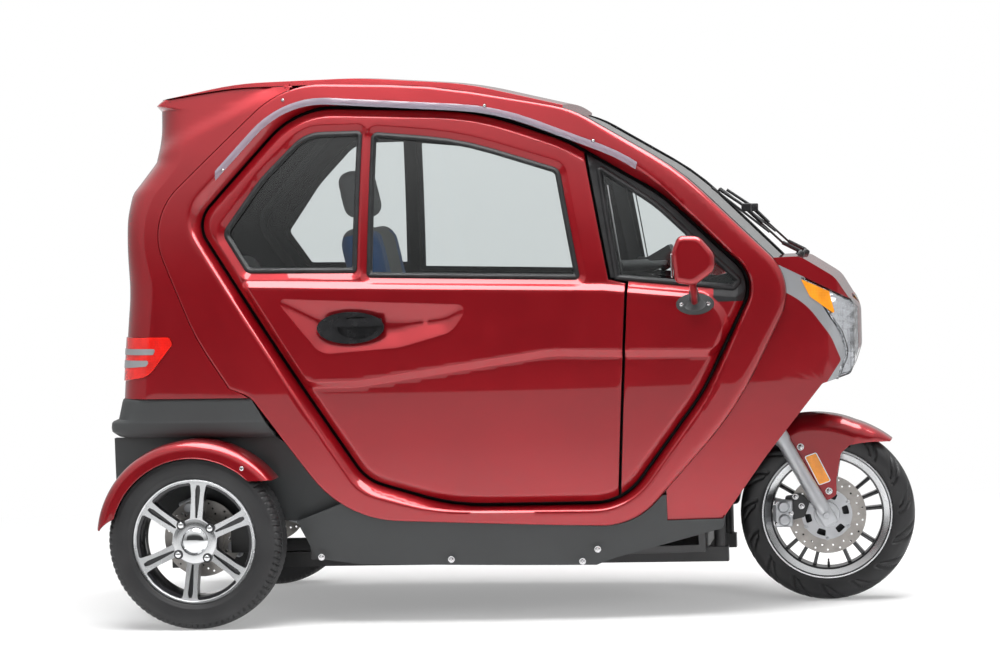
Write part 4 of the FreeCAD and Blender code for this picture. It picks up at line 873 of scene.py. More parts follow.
def make_sides():
    paint, inner = finishes["paint"], finishes["interior"]
    folds = [walked(grown(RING_OUTER, -step)) for step in (1.0, 3.0, 7.0, 13.0)]
    folds += [walked(grown(RING_FACE_INNER, step)) for step in (5.0, 0.0, -5.0)]
    folds += [walked(grown(APERTURE, DOOR_GAP + step)) for step in (2.0, 8.0)]
    ring = pressed_panel("hoop_right", walked(RING_OUTER), [walked(grown(APERTURE, DOOR_GAP))],
                         folds, ring_depth, RING_BACK)
    both_sides(ring, "hoop", "body", "body_paint", "side_ring", paint, inner)
    mouldings = fold_lines(MOULDING, 0.0, MOULDING_SLOPE)
    edges = [walked(grown(APERTURE, -step))
             for step in (1.0, 3.5)] + fold_lines(APERTURE, DOOR_EDGE_SLOPE)
    scoop = fold_lines(HANDLE_SCOOP, 0.0)
    door_loop = part_of_opening(False)
    windows = [REAR_WINDOW, MAIN_WINDOW]
    folds = edges + mouldings + scoop + [inset(door_loop, 1.2), inset(door_loop, EDGE_ROUND)]
    for window in windows:
        folds += fold_lines(window, -WINDOW_SLOPE)
    door = pressed_panel("door_skin_right", door_loop, [walked(window) for window in windows],
                         folds, panel_depth(door_loop, windows), DOOR_BACK)
    both_sides(door, "door_skin", "door_{}_body", "body_paint", "door", paint, inner)
    panel_loop = part_of_opening(True)
    folds = edges + mouldings + fold_lines(QUARTER_WINDOW, -WINDOW_SLOPE)
    folds += [inset(panel_loop, 1.2), inset(panel_loop, EDGE_ROUND)]
    folds += [walked([(x, z, 0), (1900, z, 0), (1900, 1500, 0), (x, 1500, 0)]) for x, z in
              ((900, PANEL_BELT), PANEL_CORNER)]
    panel = pressed_panel("fixed_panel_right", panel_loop, [walked(QUARTER_WINDOW)], folds,
                          panel_depth(panel_loop, [QUARTER_WINDOW]), DOOR_BACK)
    moulding = walked(MOULDING)
    centres = np.array([tuple(face.center) for face in panel.data.polygons])
    flat = np.stack([(centres[:, 0] - AHEAD) / MM, centres[:, 2] / MM], 1)
    corner = (flat > PANEL_CORNER).all(axis=1) & (distance(flat, moulding) < -FOLD)
    dark = (flat[:, 1] > PANEL_BELT) | corner
    for face, above in zip(panel.data.polygons, dark):
        if above and face.material_index == 0:
            face.material_index = 2
    both_sides(panel, "fixed_panel", "body", "body_paint", "front_panel", paint, inner,
               finishes["rubber"])


def seal_depth(window, lap, width):
    """A rubber section: a lip on the panel, a crown, and a slope down to the pane."""
    loop = walked(window)

    def depth(points):
        along = np.clip((distance(points, loop) + lap) / (width + lap), 0.0, 1.0)
        return -13.0 + 9.5 * np.sin(math.pi * np.clip(along, 0.02, 0.98)) ** 0.55
    return depth


def window_seal(name, window, width):
    hole = walked(grown(window, -width))
    folds = [walked(grown(window, SEAL_LAP - step)) for step in (1.0, 3.0, 6.5, 10.0)]
    return pressed_panel(name, walked(grown(window, SEAL_LAP)), [hole], folds,
                         seal_depth(window, SEAL_LAP, width), -18.0)


def make_seals():
    rubber = finishes["rubber"]
    door_seal = joined("door_seal_right", window_seal("seal", REAR_WINDOW, SEAL_WIDTH),
                       window_seal("seal", MAIN_WINDOW, SEAL_WIDTH))
    both_sides(door_seal, "door_seal", "door_{}_body", "dark_trim", None, rubber, rubber)
    quarter = window_seal("quarter_seal_right", QUARTER_WINDOW, SEAL_WIDTH)
    both_sides(quarter, "quarter_seal", "body", "dark_trim", None, rubber, rubber)

    def flat_depth(points):
        return np.full(len(points), DOOR_BACK - 1.5)
    gasket = pressed_panel("door_gasket_right", walked(grown(APERTURE, DOOR_GAP + 1.0)),
                           [walked(grown(APERTURE, -SEAL_WIDTH))], [], flat_depth, RING_BACK)
    behind = [(x - 14, z, 0) for x, z in SHUT_LINE] + [(x + 22, z, 0) for x, z in SHUT_LINE[::-1]]
    behind = [(x, min(max(z, POST_LOW), POST_HIGH), r) for x, z, r in behind]
    post = pressed_panel("post", walked(behind, 9.0), [], [], flat_depth, RING_BACK)
    gasket = joined("door_gasket_right", gasket, post)
    both_sides(gasket, "door_gasket", "body", "dark_trim", None, rubber, rubber)


def make_visors():
    """Rain strips over the doors, with their small screws."""
    outer, inner = grown(RING_FACE_INNER, 10.0), grown(RING_FACE_INNER, -8.0)
    chain = walked(RING_FACE_INNER)

    def clipped(loop):
        keep = [p for p in loop if p[1] > 1188.0 and 50.0 < p[0] < 1196.0]
        return sorted(keep, key=lambda p: p[0] + (0 if p[0] > 300 else p[1] - 1500) * 1.0)
    upper = clipped(walked(outer))
    lower = clipped(walked(inner))
    outline = refined([Vector(p) for p in upper] + [Vector(p) for p in lower[::-1]], 9.0)

    def depth(points):
        across = np.clip((distance(points, chain) + 10.0) / 18.0, 0, 1)
        return RING_PROUD + 0.6 + 4.0 * np.sin(math.pi * (0.12 + 0.76 * across)) - 3.0 * across
    visor = pressed_panel("rain_visor_right", outline, [], [], depth, RING_PROUD - 6.0, 7.0)
    right, _ = both_sides(visor, "rain_visor", "body", "smoked_strip", None, finishes["visor"],
                          finishes["visor"])
    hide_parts("rain_visors")
    spots = [on_side(x, z, RING_PROUD + 4.5)
             for x, z in ((78, 1222), (240, 1406), (790, 1372), (1078, 1270))]
    heads = bolts("visor_screws_right", spots, (0, -1, 0), 3.4, 2.2)
    both_sides(heads, "visor_screws", "body", "silver_trim", None, finishes["bolt"])


# ---------------------------------------------------------------- rear of the body
def shape_of_rear():
    """The rear profile and the rear edge of the hoop as two matched chains from bottom to top."""
    rear = walked(REAR_FACE)
    rear = rear[(rear[:, 0] < 262) & ~((rear[:, 1] < REAR_BOTTOM + 1) & (rear[:, 0] > -225))]
    start = int(np.argmin(np.abs(rear[:, 1] - REAR_BOTTOM) + np.abs(rear[:, 0] + 228)))
    rear = np.roll(rear, -start, axis=0)
    if rear[1][1] < rear[0][1]:
        rear = np.concatenate([rear[:1], rear[:0:-1]])
    ring = walked(grown(RING_OUTER, 0.4))
    ring = ring[(ring[:, 0] < 262) & (ring[:, 1] > REAR_BOTTOM)]
    ring = ring[np.argsort(np.arctan2(ring[:, 1] - 1000.0, 600.0 - ring[:, 0]))]
    return rear, ring


def by_share(chain, shares):
    steps = np.concatenate([[0], np.cumsum(np.linalg.norm(np.diff(chain, axis=0), axis=1))])
    return np.stack([np.interp(shares * steps[-1], steps, chain[:, k]) for k in (0, 1)], 1)


def flank_depth(points):
    """Depth of the rear flanks: flush with the hoop, and stepped in above the shoulder line."""
    xs, zs = np.array(SHOULDER, float).T
    above = points[:, 1] - np.interp(points[:, 0], xs, zs)
    fade = ease(points[:, 0] + 260.0, 60.0) * ease(300.0 - points[:, 0], 120.0)
    return RING_PROUD - SHOULDER_STEP * fade * ramp(above, 34.0, 4.0)


def to_the_rear(face):
    return -face.normal.x * face.area


def rear_skin(name, extra, wall):
    """The rear of the body as one wrapped sheet: flanks, rounded corners, rear face, spoiler."""
    rear, ring = shape_of_rear()
    shares = np.linspace(0, 1, 96)
    b_points = by_share(rear, shares)
    # each row starts on the hoop at about the same height, and follows the roof line at the top
    ring_z = np.clip(b_points[:, 1], REAR_BOTTOM, 1440.0)
    order = np.argsort(ring[:, 1])
    a_x = np.interp(ring_z, ring[order, 1], ring[order, 0])
    a_points = np.stack([np.where(b_points[:, 0] > a_x - 20, b_points[:, 0] + 4, a_x), ring_z], 1)
    rows = []
    for (ax, az), (bx, bz) in zip(a_points, b_points):
        run = math.hypot(ax - bx, az - bz)
        round_off = min(88.0, run * 0.62)
        round_off = round_off if bz < 1398 else min(round_off, 16.0)
        share = round_off / max(run, 1e-6)
        cx, cz = bx + (ax - bx) * share, bz + (az - bz) * share
        row = []
        for k in range(13):
            t = k / 12
            row.append((ax + (cx - ax) * t, az + (cz - az) * t, 0.0))
        for k in range(1, 9):
            angle = math.radians(90.0 * k / 8)
            row.append((cx + (bx - cx) * math.sin(angle), cz + (bz - cz) * math.sin(angle),
                        round_off * (1 - math.cos(angle))))
        flat = np.array([(x, z) for x, z, _ in row])
        y = side_y(flat[:, 0], flat[:, 1],
                   flank_depth(flat) + extra) + np.array([inset for _, _, inset in row])
        points = [(x, yy, z) for (x, z, _), yy in zip(row, y)]
        edge = points[-1][1]
        points += [(bx, edge * (1 - k / 14), bz) for k in range(1, 15)]
        half = [(x - (extra * min(1.0, i / 20.0)), yy, z) for i, (x, yy, z) in enumerate(points)]
        rows.append(half + [(x, -yy, z) for x, yy, z in half[-2::-1]])
    width = len(rows[0])
    vertices = [tuple(spot(*p)) for row in rows for p in row]
    faces = [(k * width + i, k * width + i + 1, (k + 1) * width + i + 1, (k + 1) * width + i)
             for k in range(len(rows) - 1) for i in range(width - 1)]
    obj = facing(outward(mesh_object(name, vertices, faces), 0.05), to_the_rear)
    return modifier(obj, "SOLIDIFY", thickness=wall * MM, offset=-1.0, material_offset=1,
                    material_offset_rim=1)


def rear_prism(half, low, high, radius, rear_x, front_x):
    """A form that runs fore and aft, with a rounded rectangle for its section."""
    loop = walked([(-half, low, radius), (half, low, radius), (half, high, radius),
                   (-half, high, radius)], 30.0)
    return loft("prism", [[spot(x, y, z) for y, z in loop] for x in (rear_x, front_x)])


def side_prism(corners, right=-700.0, left=700.0):
    """A form that runs across the car, with an outline for its section."""
    loop = walked(corners, 40.0)
    return loft("prism", [[spot(x, y, z) for x, z in loop] for y in (right, left)])


def make_rear():
    paint, inner = finishes["paint"], finishes["interior"]
    shell = rear_skin("rear_quarter", 0.0, 12.0)
    paint_with(shell, paint, inner)
    lid = linked("boot_door", shell.data.copy())
    gap = LID["gap"]
    cut_with(lid,
             rear_prism(LID["half"] - gap, LID["low"] + gap, LID["high"] - gap, LID["radius"] - gap,
                        -400, -100),
             "INTERSECT")
    cut_with(shell, rear_prism(LID["half"], LID["low"], LID["high"], LID["radius"], -400, -100))
    cut_with(shell,
             rear_prism(REAR_PANE["half"], REAR_PANE["low"], REAR_PANE["high"], REAR_PANE["radius"],
                        -400, 0))
    pocket = side_prism(grown(TAIL_LAMP, 0.8))
    cut_with(pocket, rear_prism(289.0, 500.0, 1500.0, 0, -500, 400))
    cut_with(shell, pocket)
    for obj, body, node in ((shell, "body", "rear_body"), (lid, "boot", "boot_lid")):
        weighted(smooth(obj, 34.0))
        hand_over(obj, body, "body_paint", replaces=(node,))
    strips = []
    for strip in TAIL_STRIPS:
        bar = rear_skin("tail_lamp_strip", 4.2, 8.0)
        region = joined("region", side_prism(strip, -700.0, -294.0),
                        side_prism(strip, 294.0, 700.0))
        strips.append(cut_with(bar, region, "INTERSECT"))
    strips = weighted(smooth(joined("tail_lamp_strips", *strips), 34.0))
    strips.data.polygons.foreach_set("material_index",
                                     np.zeros(len(strips.data.polygons), np.int32))
    hand_over(strips, "body", "silver_trim", finishes["silver"])
    lamp = rear_skin("tail_lamp_lens", 3.0, 16.0)
    region = side_prism(TAIL_LAMP)
    cut_with(region, rear_prism(290.0, 500.0, 1500.0, 0, -500, 400))
    cut_with(lamp, region, "INTERSECT")
    weighted(smooth(lamp, 34.0))
    hand_over(lamp, "body", "red_lens", finishes["red"], finishes["trim"], replaces=("tail_lamps",))
    hinge_x, hinge_z = -212.0, LID["high"] + 2.0
    for name, body, offset, low in (("lid_hinge", "boot", 0.0, -28.0),
                                    ("body_hinge", "body", 40.3, 0.0)):
        pieces = []
        for side in (-1, 1):
            y = side * (120.0 + offset)
            knuckle = turned("knuckle", [(0, -20), (5, -20), (6, -19), (6, 19), (5, 20), (0, 20)],
                             20, spot(hinge_x, y, hinge_z))
            leaf = block("leaf", (hinge_x - 5, y - 20, hinge_z + low),
                         (hinge_x + 4, y + 20, hinge_z + low + 28), 1.5)
            pieces += [knuckle, leaf]
        hand_over(joined(name, *pieces), body, "black_metal", finishes["black_metal"])


# ---------------------------------------------------------------- wheels
FRONT_HUB = Vector(((FRONT_AXLE.x - AHEAD) / MM, 0.0, FRONT_AXLE.z / MM))
REAR_HUB = Vector((0.0, REAR_AXLE.y / MM, REAR_AXLE.z / MM))


def grid_object(name, rows, close_rows=False, close_columns=False):
    """A surface through rows of points, each row with the same number of points."""
    height, width = len(rows), len(rows[0])
    faces = []
    for k in range(height if close_rows else height - 1):
        for i in range(width if close_columns else width - 1):
            a, b = (k + 1) % height, (i + 1) % width
            faces.append((k * width + i, k * width + b, a * width + b, a * width + i))
    return outward(mesh_object(name, [tuple(point) for row in rows for point in row], faces), 0.01)


def spline_through(points, count):
    """Even steps along a smooth curve through some (u, v) points."""
    points = np.array(points, float)
    padded = np.concatenate([[2 * points[0] - points[1]], points, [2 * points[-1] - points[-2]]])
    t = np.linspace(0, len(points) - 1 - 1e-6, count * 8)
    k = t.astype(int)
    f = (t - k)[:, None]
    p0, p1, p2, p3 = padded[k], padded[k + 1], padded[k + 2], padded[k + 3]
    curve = 0.5 * (2 * p1 + (p2 - p0) * f + (2 * p0 - 5 * p1 + 4 * p2 - p3) * f ** 2
                   + (3 * p1 - p0 - 3 * p2 + p3) * f ** 3)
    steps = np.concatenate([[0], np.cumsum(np.linalg.norm(np.diff(curve, axis=0), axis=1))])
    even = np.linspace(0, steps[-1], count)
    return np.stack([np.interp(even, steps, curve[:, axis]) for axis in (0, 1)], 1)


def groove(value, width, wall):
    """1 on the bottom of a groove about zero, 0 outside it, with sloped walls."""
    return np.clip((width / 2 + wall - np.abs(value)) / wall, 0.0, 1.0)


def tyre(name, hub, half_profile, columns, pattern, rows=34):
    """A tyre: half a section from bead to crown, mirrored, with a tread pattern pressed in."""
    half = spline_through(half_profile, rows)
    section = np.concatenate([half, [(r, -y) for r, y in half[-2::-1]]])
    inner = [(half[0][0] - 1.0, -half[0][1] + 8.0), (half[0][0] - 1.0, half[0][1] - 8.0)]
    angles = np.arange(columns) * 2 * math.pi / columns
    width = len(section)
    across = np.concatenate([np.linspace(0, 1, rows), np.linspace(1, 0, rows)[1:]])
    side = np.sign(section[:, 1])
    shapes = []
    for k, (radius, y) in enumerate(section):
        drop = pattern(angles, across[k], side[k])
        before, after = section[max(k - 1, 0)], section[min(k + 1, width - 1)]
        tangent = (after - before) / max(np.linalg.norm(after - before), 1e-9)
        normal = np.array([-tangent[1], tangent[0]])
        normal = normal if normal[0] * 1.0 + normal[1] * np.sign(y or 1) * 0.3 > 0 else -normal
        shapes.append((radius - drop * normal[0], y - drop * normal[1]))
    rows_out = []
    for column, angle in enumerate(angles):
        row = []
        for radii, ys in shapes:
            row.append(spot(hub.x + radii[column] * math.cos(angle), hub.y + ys[column],
                            hub.z + radii[column] * math.sin(angle)))
        row += [spot(hub.x + r * math.cos(angle), hub.y + y, hub.z + r * math.sin(angle))
                for r, y in inner]
        rows_out.append(row)
    obj = grid_object(name, rows_out, close_rows=True, close_columns=True)
    return smooth(obj, 40.0)


FRONT_BLOCKS = 15               # leaf-shaped blocks round the front tyre
REAR_SLOTS = 84                 # slots round each shoulder of a rear tyre


def front_pattern(angles, across, side):
    """Leaf-shaped blocks that sweep from the shoulder towards the crown."""
    turn = angles * FRONT_BLOCKS / (2 * math.pi) + (0.5 if side > 0 else 0.0)
    share = np.clip((across - 0.20) / 0.70, 0, 1)
    if not 0.0 < share < 1.0:
        return np.zeros(len(angles))

    def line(lead, width):
        phase = (turn - lead + 0.5) % 1.0 - 0.5
        return groove(phase, width, 0.035)
    sweep = 0.75 * share ** 1.4
    fade = min(1.0, (1 - share) / 0.10) * min(1.0, share / 0.04)
    first = line(sweep, 0.09)
    second = line(sweep + 0.42 * share * (1 - share) * 4 * 0.5 + 0.12, 0.05) * (share > 0.06)
    return 5.5 * fade * np.maximum(first, 0.75 * second)


def rear_pattern(angles, across, side):
    """Ribs with narrow slots on the shoulder."""
    turn = angles * REAR_SLOTS / (2 * math.pi) + (0.5 if side > 0 else 0.0)
    ribs = 5.0 * max(groove(np.array(across - place), 0.012, 0.012) for place in (0.80, 0.93))
    slots = 0.0
    if 0.50 < across < 0.76:
        slots = 3.2 * groove((turn + 1.2 * across + 0.5) % 1.0 - 0.5, 0.16, 0.12)
    bead = 1.2 * (groove(np.array(across - 0.16), 0.02, 0.02)
                  + groove(np.array(across - 0.44), 0.012, 0.012))
    return np.maximum(slots, ribs) + np.full(len(angles), float(bead))


def polar(radius, degrees):
    a = math.radians(degrees)
    return radius * math.cos(a), radius * math.sin(a)


def arc_point(hub, radius, degrees, y):
    ahead, up = polar(radius, degrees)
    return spot(hub.x + ahead, y, hub.z + up)


def spoke_outline(degrees, corners):
    """A small outline that points away from the axle, from (radius, sideways, corner radius)."""
    a = math.radians(degrees)
    u, v = (math.cos(a), math.sin(a)), (-math.sin(a), math.cos(a))
    return walked([(u[0] * r + v[0] * w, u[1] * r + v[1] * w, corner) for r, w, corner in corners],
                  6.0)


def around(hub, angle):
    centre = spot(hub.x, hub.y, hub.z)
    return (Matrix.Translation(centre) @ Matrix.Rotation(-math.radians(angle), 4, "Y")
            @ Matrix.Translation(-centre))


def bar_at(name, hub, r0, r1, half0, half1, y0, y1, edge=1.5):
    """A tapered bar that points from the axle straight ahead."""
    corners = []
    for radius, half in ((r0, half0), (r1, half1)):
        corners.append([spot(hub.x + radius, hub.y + y, hub.z + z)
                        for y, z in ((y0, -half), (y1, -half), (y1, half), (y0, half))])
    obj = loft(name, corners)
    return rounded_edges(obj, edge, 2, 40.0)


def make_front_wheel():
    hub = FRONT_HUB
    profile = [(177, 40), (179, 47), (190, 52.5), (204, 54.8), (218, 53.5), (228, 47), (234.5, 37),
               (237.6, 24), (238.5, 12), (238.6, 0)]
    piece = tyre("front_tyre_tread", hub, profile, FRONT_BLOCKS * 22, front_pattern, 44)
    hand_over(piece, "front_wheel", "tyre", finishes["tyre"], replaces=("front_tyre",))
    rim = []
    for side in (1, -1):
        band = turned("band",
                      [(175, side * 40), (179, side * 47), (177.5, side * 49.5), (174, side * 49.5),
                       (171.5, side * 47), (170.5, side * 43), (158, side * 37.5),
                       (155, side * 36),
                       (155, side * 32), (166, side * 30), (175, side * 40)], 128,
                      spot(*hub))
        rim.append(band)
    hand_over(joined("front_rim_bands", *rim), "front_wheel", "silver_trim", finishes["alloy"],
              replaces=("front_rim",))
    barrel = turned("barrel",
                    [(166, 31), (156, 34.5), (150, 33), (149, 26), (152, 14), (152, -14),
                     (149, -26), (150, -33), (156, -34.5), (166, -31), (166, 31)], 128, spot(*hub))
    spoke = bar_at("spoke", hub, 40, 151.5, 3.8, 5.2, -24, 17, 1.8)
    turns = [22 + 72 * k + step for k in range(5) for step in (-17, 0, 17)]
    spokes = repeated("spokes", spoke, [around(hub, angle) for angle in turns])
    core = turned("core",
                  [(0, -46), (16, -46), (26, -42), (60, -40), (66, -36), (66, -24), (52, -18),
                   (44, 16), (52, 28), (52, 34), (20, 40), (0, 40)], 64, spot(*hub))
    stem = turned("stem", [(0, 24), (2.6, 24), (2.6, 16), (3.6, 14), (3.6, 0), (0, 0)], 16,
                  spot(hub.x, hub.y - 12, hub.z - 150), (0, -0.35, 1))
    hand_over(joined("front_spokes", barrel, spokes, core, stem), "front_wheel", "black_alloy",
              finishes["black_alloy"])
    holes = [circle(2.8, 12, *polar(radius, turn)) for radius, first in ((98, 10), (86, 0))
             for turn in range(first, 360, 20)]
    disc = plate("brake_disc", circle(107, 120), [circle(69, 72)] + holes, -2.5, 2.5, -58.0, 9.0,
                 hub.x, hub.z)
    hand_over(rounded_edges(disc, 0.4, 1, 60.0), "front_wheel", "disc_steel", finishes["disc"],
              replaces=("front_disc",))
    slots = [spoke_outline(60 * k + 12, ((43, -10, 4), (60, -13, 4), (60, 13, 4), (43, 10, 4)))
             for k in range(6)]
    carrier = plate("disc_carrier", circle(69, 72), slots, 0.0, 5.0, -56.0, 9.0, hub.x, hub.z)
    rivets = [arc_point(hub, 66, turn, -61) for turn in range(30, 390, 60)]
    centre = turned("centre", [(0, 13), (20, 13), (26, 8), (34, 6), (36, 0), (0, 0)], 48,
                    spot(hub.x, -60, hub.z), (0, -1, 0))
    hand_over(joined("disc_carrier", rounded_edges(carrier, 0.5, 1, 60.0),
                     bolts("rivets", rivets, (0, -1, 0), 4.6, 3.0),
                     centre), "front_wheel", "silver_trim", finishes["cast"])


def spoke_window(angle, step, inner, outer, waist, root):
    """The gap between two spokes as a rounded outline about the axle."""
    corners = []
    for turn, side in ((angle, 1), (angle + step, -1)):
        a = math.radians(turn)
        u, v = (math.cos(a), math.sin(a)), (-math.sin(a), math.cos(a))
        reach = math.sqrt(outer ** 2 - waist ** 2)
        edge = [(u[0] * r + v[0] * w * side, u[1] * r + v[1] * w * side, corner)
                for r, w, corner in ((inner, root, 7), (outer - 34, waist * 0.80, 60),
                                     (reach, waist, 6))]
        corners += edge if side > 0 else edge[::-1]
    arcs = [(*polar(outer, angle + step * share), 0) for share in (0.33, 0.5, 0.67)]
    return walked(corners[:3] + arcs + corners[3:], 6.0)


def dished(plain, centre, rise, reach):
    """Sink the middle of a flat plate inboard."""
    for vertex in plain.data.vertices:
        radius = math.hypot(vertex.co.x - centre.x, vertex.co.z - centre.z)
        vertex.co.y += rise * MM * (1 - min(1.0, radius / (reach * MM)))
    return plain


def make_rear_wheels():
    hub = REAR_HUB
    centre = spot(*hub)
    profile = [(166, 44), (169, 50), (182, 56.5), (198, 59.6), (213, 59.0), (224, 55),
               (230.5, 48.5), (234.5, 38), (236.0, 22), (236.5, 0)]
    rubber = tyre("rear_tyre_tread_right", hub, profile, REAR_SLOTS * 8, rear_pattern, 40)
    both_sides(rubber, "rear_tyre_tread", "rear_wheel_{}", "tyre", "rear_tyre", finishes["tyre"])
    windows = [spoke_window(84 + 60 * k, 60, 60, 157.5, 21.5, 16.5) for k in range(6)]
    slot = ((62, -2.5, 2), (104, -5.5, 40), (138, -6.8, 8), (151, -4.0, 3), (151, 4.0, 3),
            (138, 6.8, 8), (104, 5.5, 40), (62, 2.5, 2))
    slots = [spoke_outline(84 + 60 * k, slot) for k in range(6)]
    face = plate("face", circle(164.5, 160), windows + slots, 40.0, 48.0, hub.y, 9.0, hub.x, hub.z,
                 True)
    face = dished(face, centre, 10.0, 160.0)
    both_sides(face, "rear_wheel_face", "rear_wheel_{}", "silver_trim", "rear_rim",
               finishes["alloy"], finishes["black_alloy"])
    backing = plate("backing", circle(158, 120), windows, 16.0, 39.5, hub.y, 12.0, hub.x, hub.z)
    backing = dished(rounded_edges(backing, 1.5, 2, 50.0), centre, 10.0, 160.0)
    barrel = turned("barrel",
                    [(167, -46), (167, -40), (157, -32), (153, -16), (152, 40), (158, 50),
                     (166, 54), (167, 56), (163, 57), (155, 54), (148, 42), (148, -38), (150, -44),
                     (160, -46), (167, -46)], 128, centre)
    core = turned("core", [(0, -34), (58, -36), (62, -30), (56, 10), (50, 40), (0, 40)], 64, centre)
    both_sides(joined("barrel", backing, barrel, core), "rear_wheel_barrel", "rear_wheel_{}",
               "black_alloy", None, finishes["black_alloy"])
    lip = turned("lip",
                 [(167, -46), (167, -48.5), (164.5, -50.5), (161, -49.5), (159, -47), (160, -45),
                  (167, -46)],
                 128, centre)
    ring = turned("hub_ring",
                  [(36, -38), (60, -38), (59, -41.5), (53, -43.5), (47, -45), (38, -45), (36, -42),
                   (36, -38)], 96, centre)
    both_sides(joined("lip", lip, ring), "rear_wheel_lip", "rear_wheel_{}", "silver_trim", None,
               finishes["alloy"])
    cap = turned("cap",
                 [(0, -56), (12, -55.4), (24, -53), (31, -49), (34.5, -44), (36.5, -43),
                  (36.5, -38), (0, -38)],
                 96, centre)
    nut = turned("nut", [(0, -55), (4, -54.6), (7.5, -52), (9, -48), (9, -41), (0, -41)], 32,
                 spot(hub.x + 56, hub.y, hub.z))
    seat = turned("seat", [(9.5, -46), (12.5, -46), (13, -41), (9.5, -41), (9.5, -46)], 32,
                  spot(hub.x + 56, hub.y, hub.z))
    turns = [38 + 90 * k for k in range(4)]
    nuts = repeated("nuts", nut, [around(hub, angle) for angle in turns])
    seats = repeated("seats", seat, [around(hub, angle) for angle in turns])
    both_sides(joined("cap", cap, nuts), "rear_wheel_cap", "rear_wheel_{}", "silver_trim", None,
               finishes["chrome"])
    both_sides(seats, "rear_wheel_nut_seats", "rear_wheel_{}", "black_alloy", None,
               finishes["black_alloy"])
    holes = [circle(2.9, 12, *polar(radius, 30 * k + lead)) for k in range(12)
             for radius, lead in ((74, 0), (84, 9), (94, 18))]
    disc = plate("disc", circle(104, 96), [circle(58, 48)] + holes, -52.0, -47.5, hub.y, 9.0, hub.x,
                 hub.z)
    bell = turned("bell", [(62, 30), (62, 52), (58, 52), (54, 34), (30, 34), (30, 30), (62, 30)],
                  64, centre)
    both_sides(joined("disc", rounded_edges(disc, 0.4, 1, 60.0), bell), "rear_brake_disc",
               "rear_wheel_{}", "disc_steel", None, finishes["disc"])


# ---------------------------------------------------------------- mudguards and fender
def away_from(hub):
    return lambda face: (face.center - spot(*hub)).dot(face.normal)


def make_mudguards():
    hub = REAR_HUB
    section = spline_through([(269, -448), (270, -500), (268.5, -528), (262, -545), (248, -555.5),
                              (224, -559.0)], 26)
    rows = []
    cut = 397.0 - hub.z
    for share in np.linspace(0, 1, 72):
        row = []
        for k, (radius, y) in enumerate(section):
            front = math.degrees(math.asin(min(1.0, cut / radius)))
            inner = k / (len(section) - 1)
            rear = np.interp(inner, (0, 0.5, 0.72, 1), (167, 170.5, 172.8, 163.5))
            row.append(arc_point(hub, radius, front + (rear - front) * share, y))
        rows.append(row)
    guard = facing(grid_object("mudguard_right", rows), away_from(hub))
    modifier(guard, "SOLIDIFY", thickness=3.0 * MM, offset=-1.0)
    guard = weighted(smooth(guard, 40.0))
    lip = tube("lip",
               [arc_point(hub, 223.5, angle, -558.5) for angle in np.linspace(47.0, 163.0, 60)],
               1.3)
    right, _ = both_sides(joined("mudguard", guard, lip), "mudguard", "body", "body_paint", None,
                          finishes["paint"])
    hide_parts("rear_mudguards")
    spots = [spot(-214.9, -552, 333.0), spot(139.1, -554, 430.0)]
    screws = bolts("mudguard_screws", spots, (0, -1, 0.1), 7.5, 4.5)
    both_sides(screws, "mudguard_screws", "body", "silver_trim", None, finishes["bolt"])


FENDER_TOP = [(48.0, 271.0), (60.0, 268.0), (72.0, 267.0), (90.0, 275.0), (106.0, 284.0),
              (120.0, 274.0), (150.0, 264.0)]
FENDER_SKIRT = [(48.0, 262.0), (52.0, 247.0), (60.0, 225.0), (68.0, 205.0), (78.0, 190.0),
                (104.0, 196.0), (116.0, 236.0), (150.0, 250.0)]
FENDER_WIDTH = [(48.0, 40.0), (58.0, 62.0), (68.0, 71.5), (120.0, 71.5), (150.0, 64.0)]
FENDER_TAB = [(1727, 430, 0), (1700, 405, 20), (1686, 333, 40), (1686, 292, 14), (1669, 281, 14),
              (1650, 275, 14),
              (1630, 295, 12), (1590, 374, 30), (1554, 450, 10), (1600, 470, 0), (1700, 450, 0)]
REFLECTOR = [(1603.8, 397.0, 3), (1632.1, 406.6, 3), (1668.9, 331.5, 3), (1640.1, 321.6, 3)]


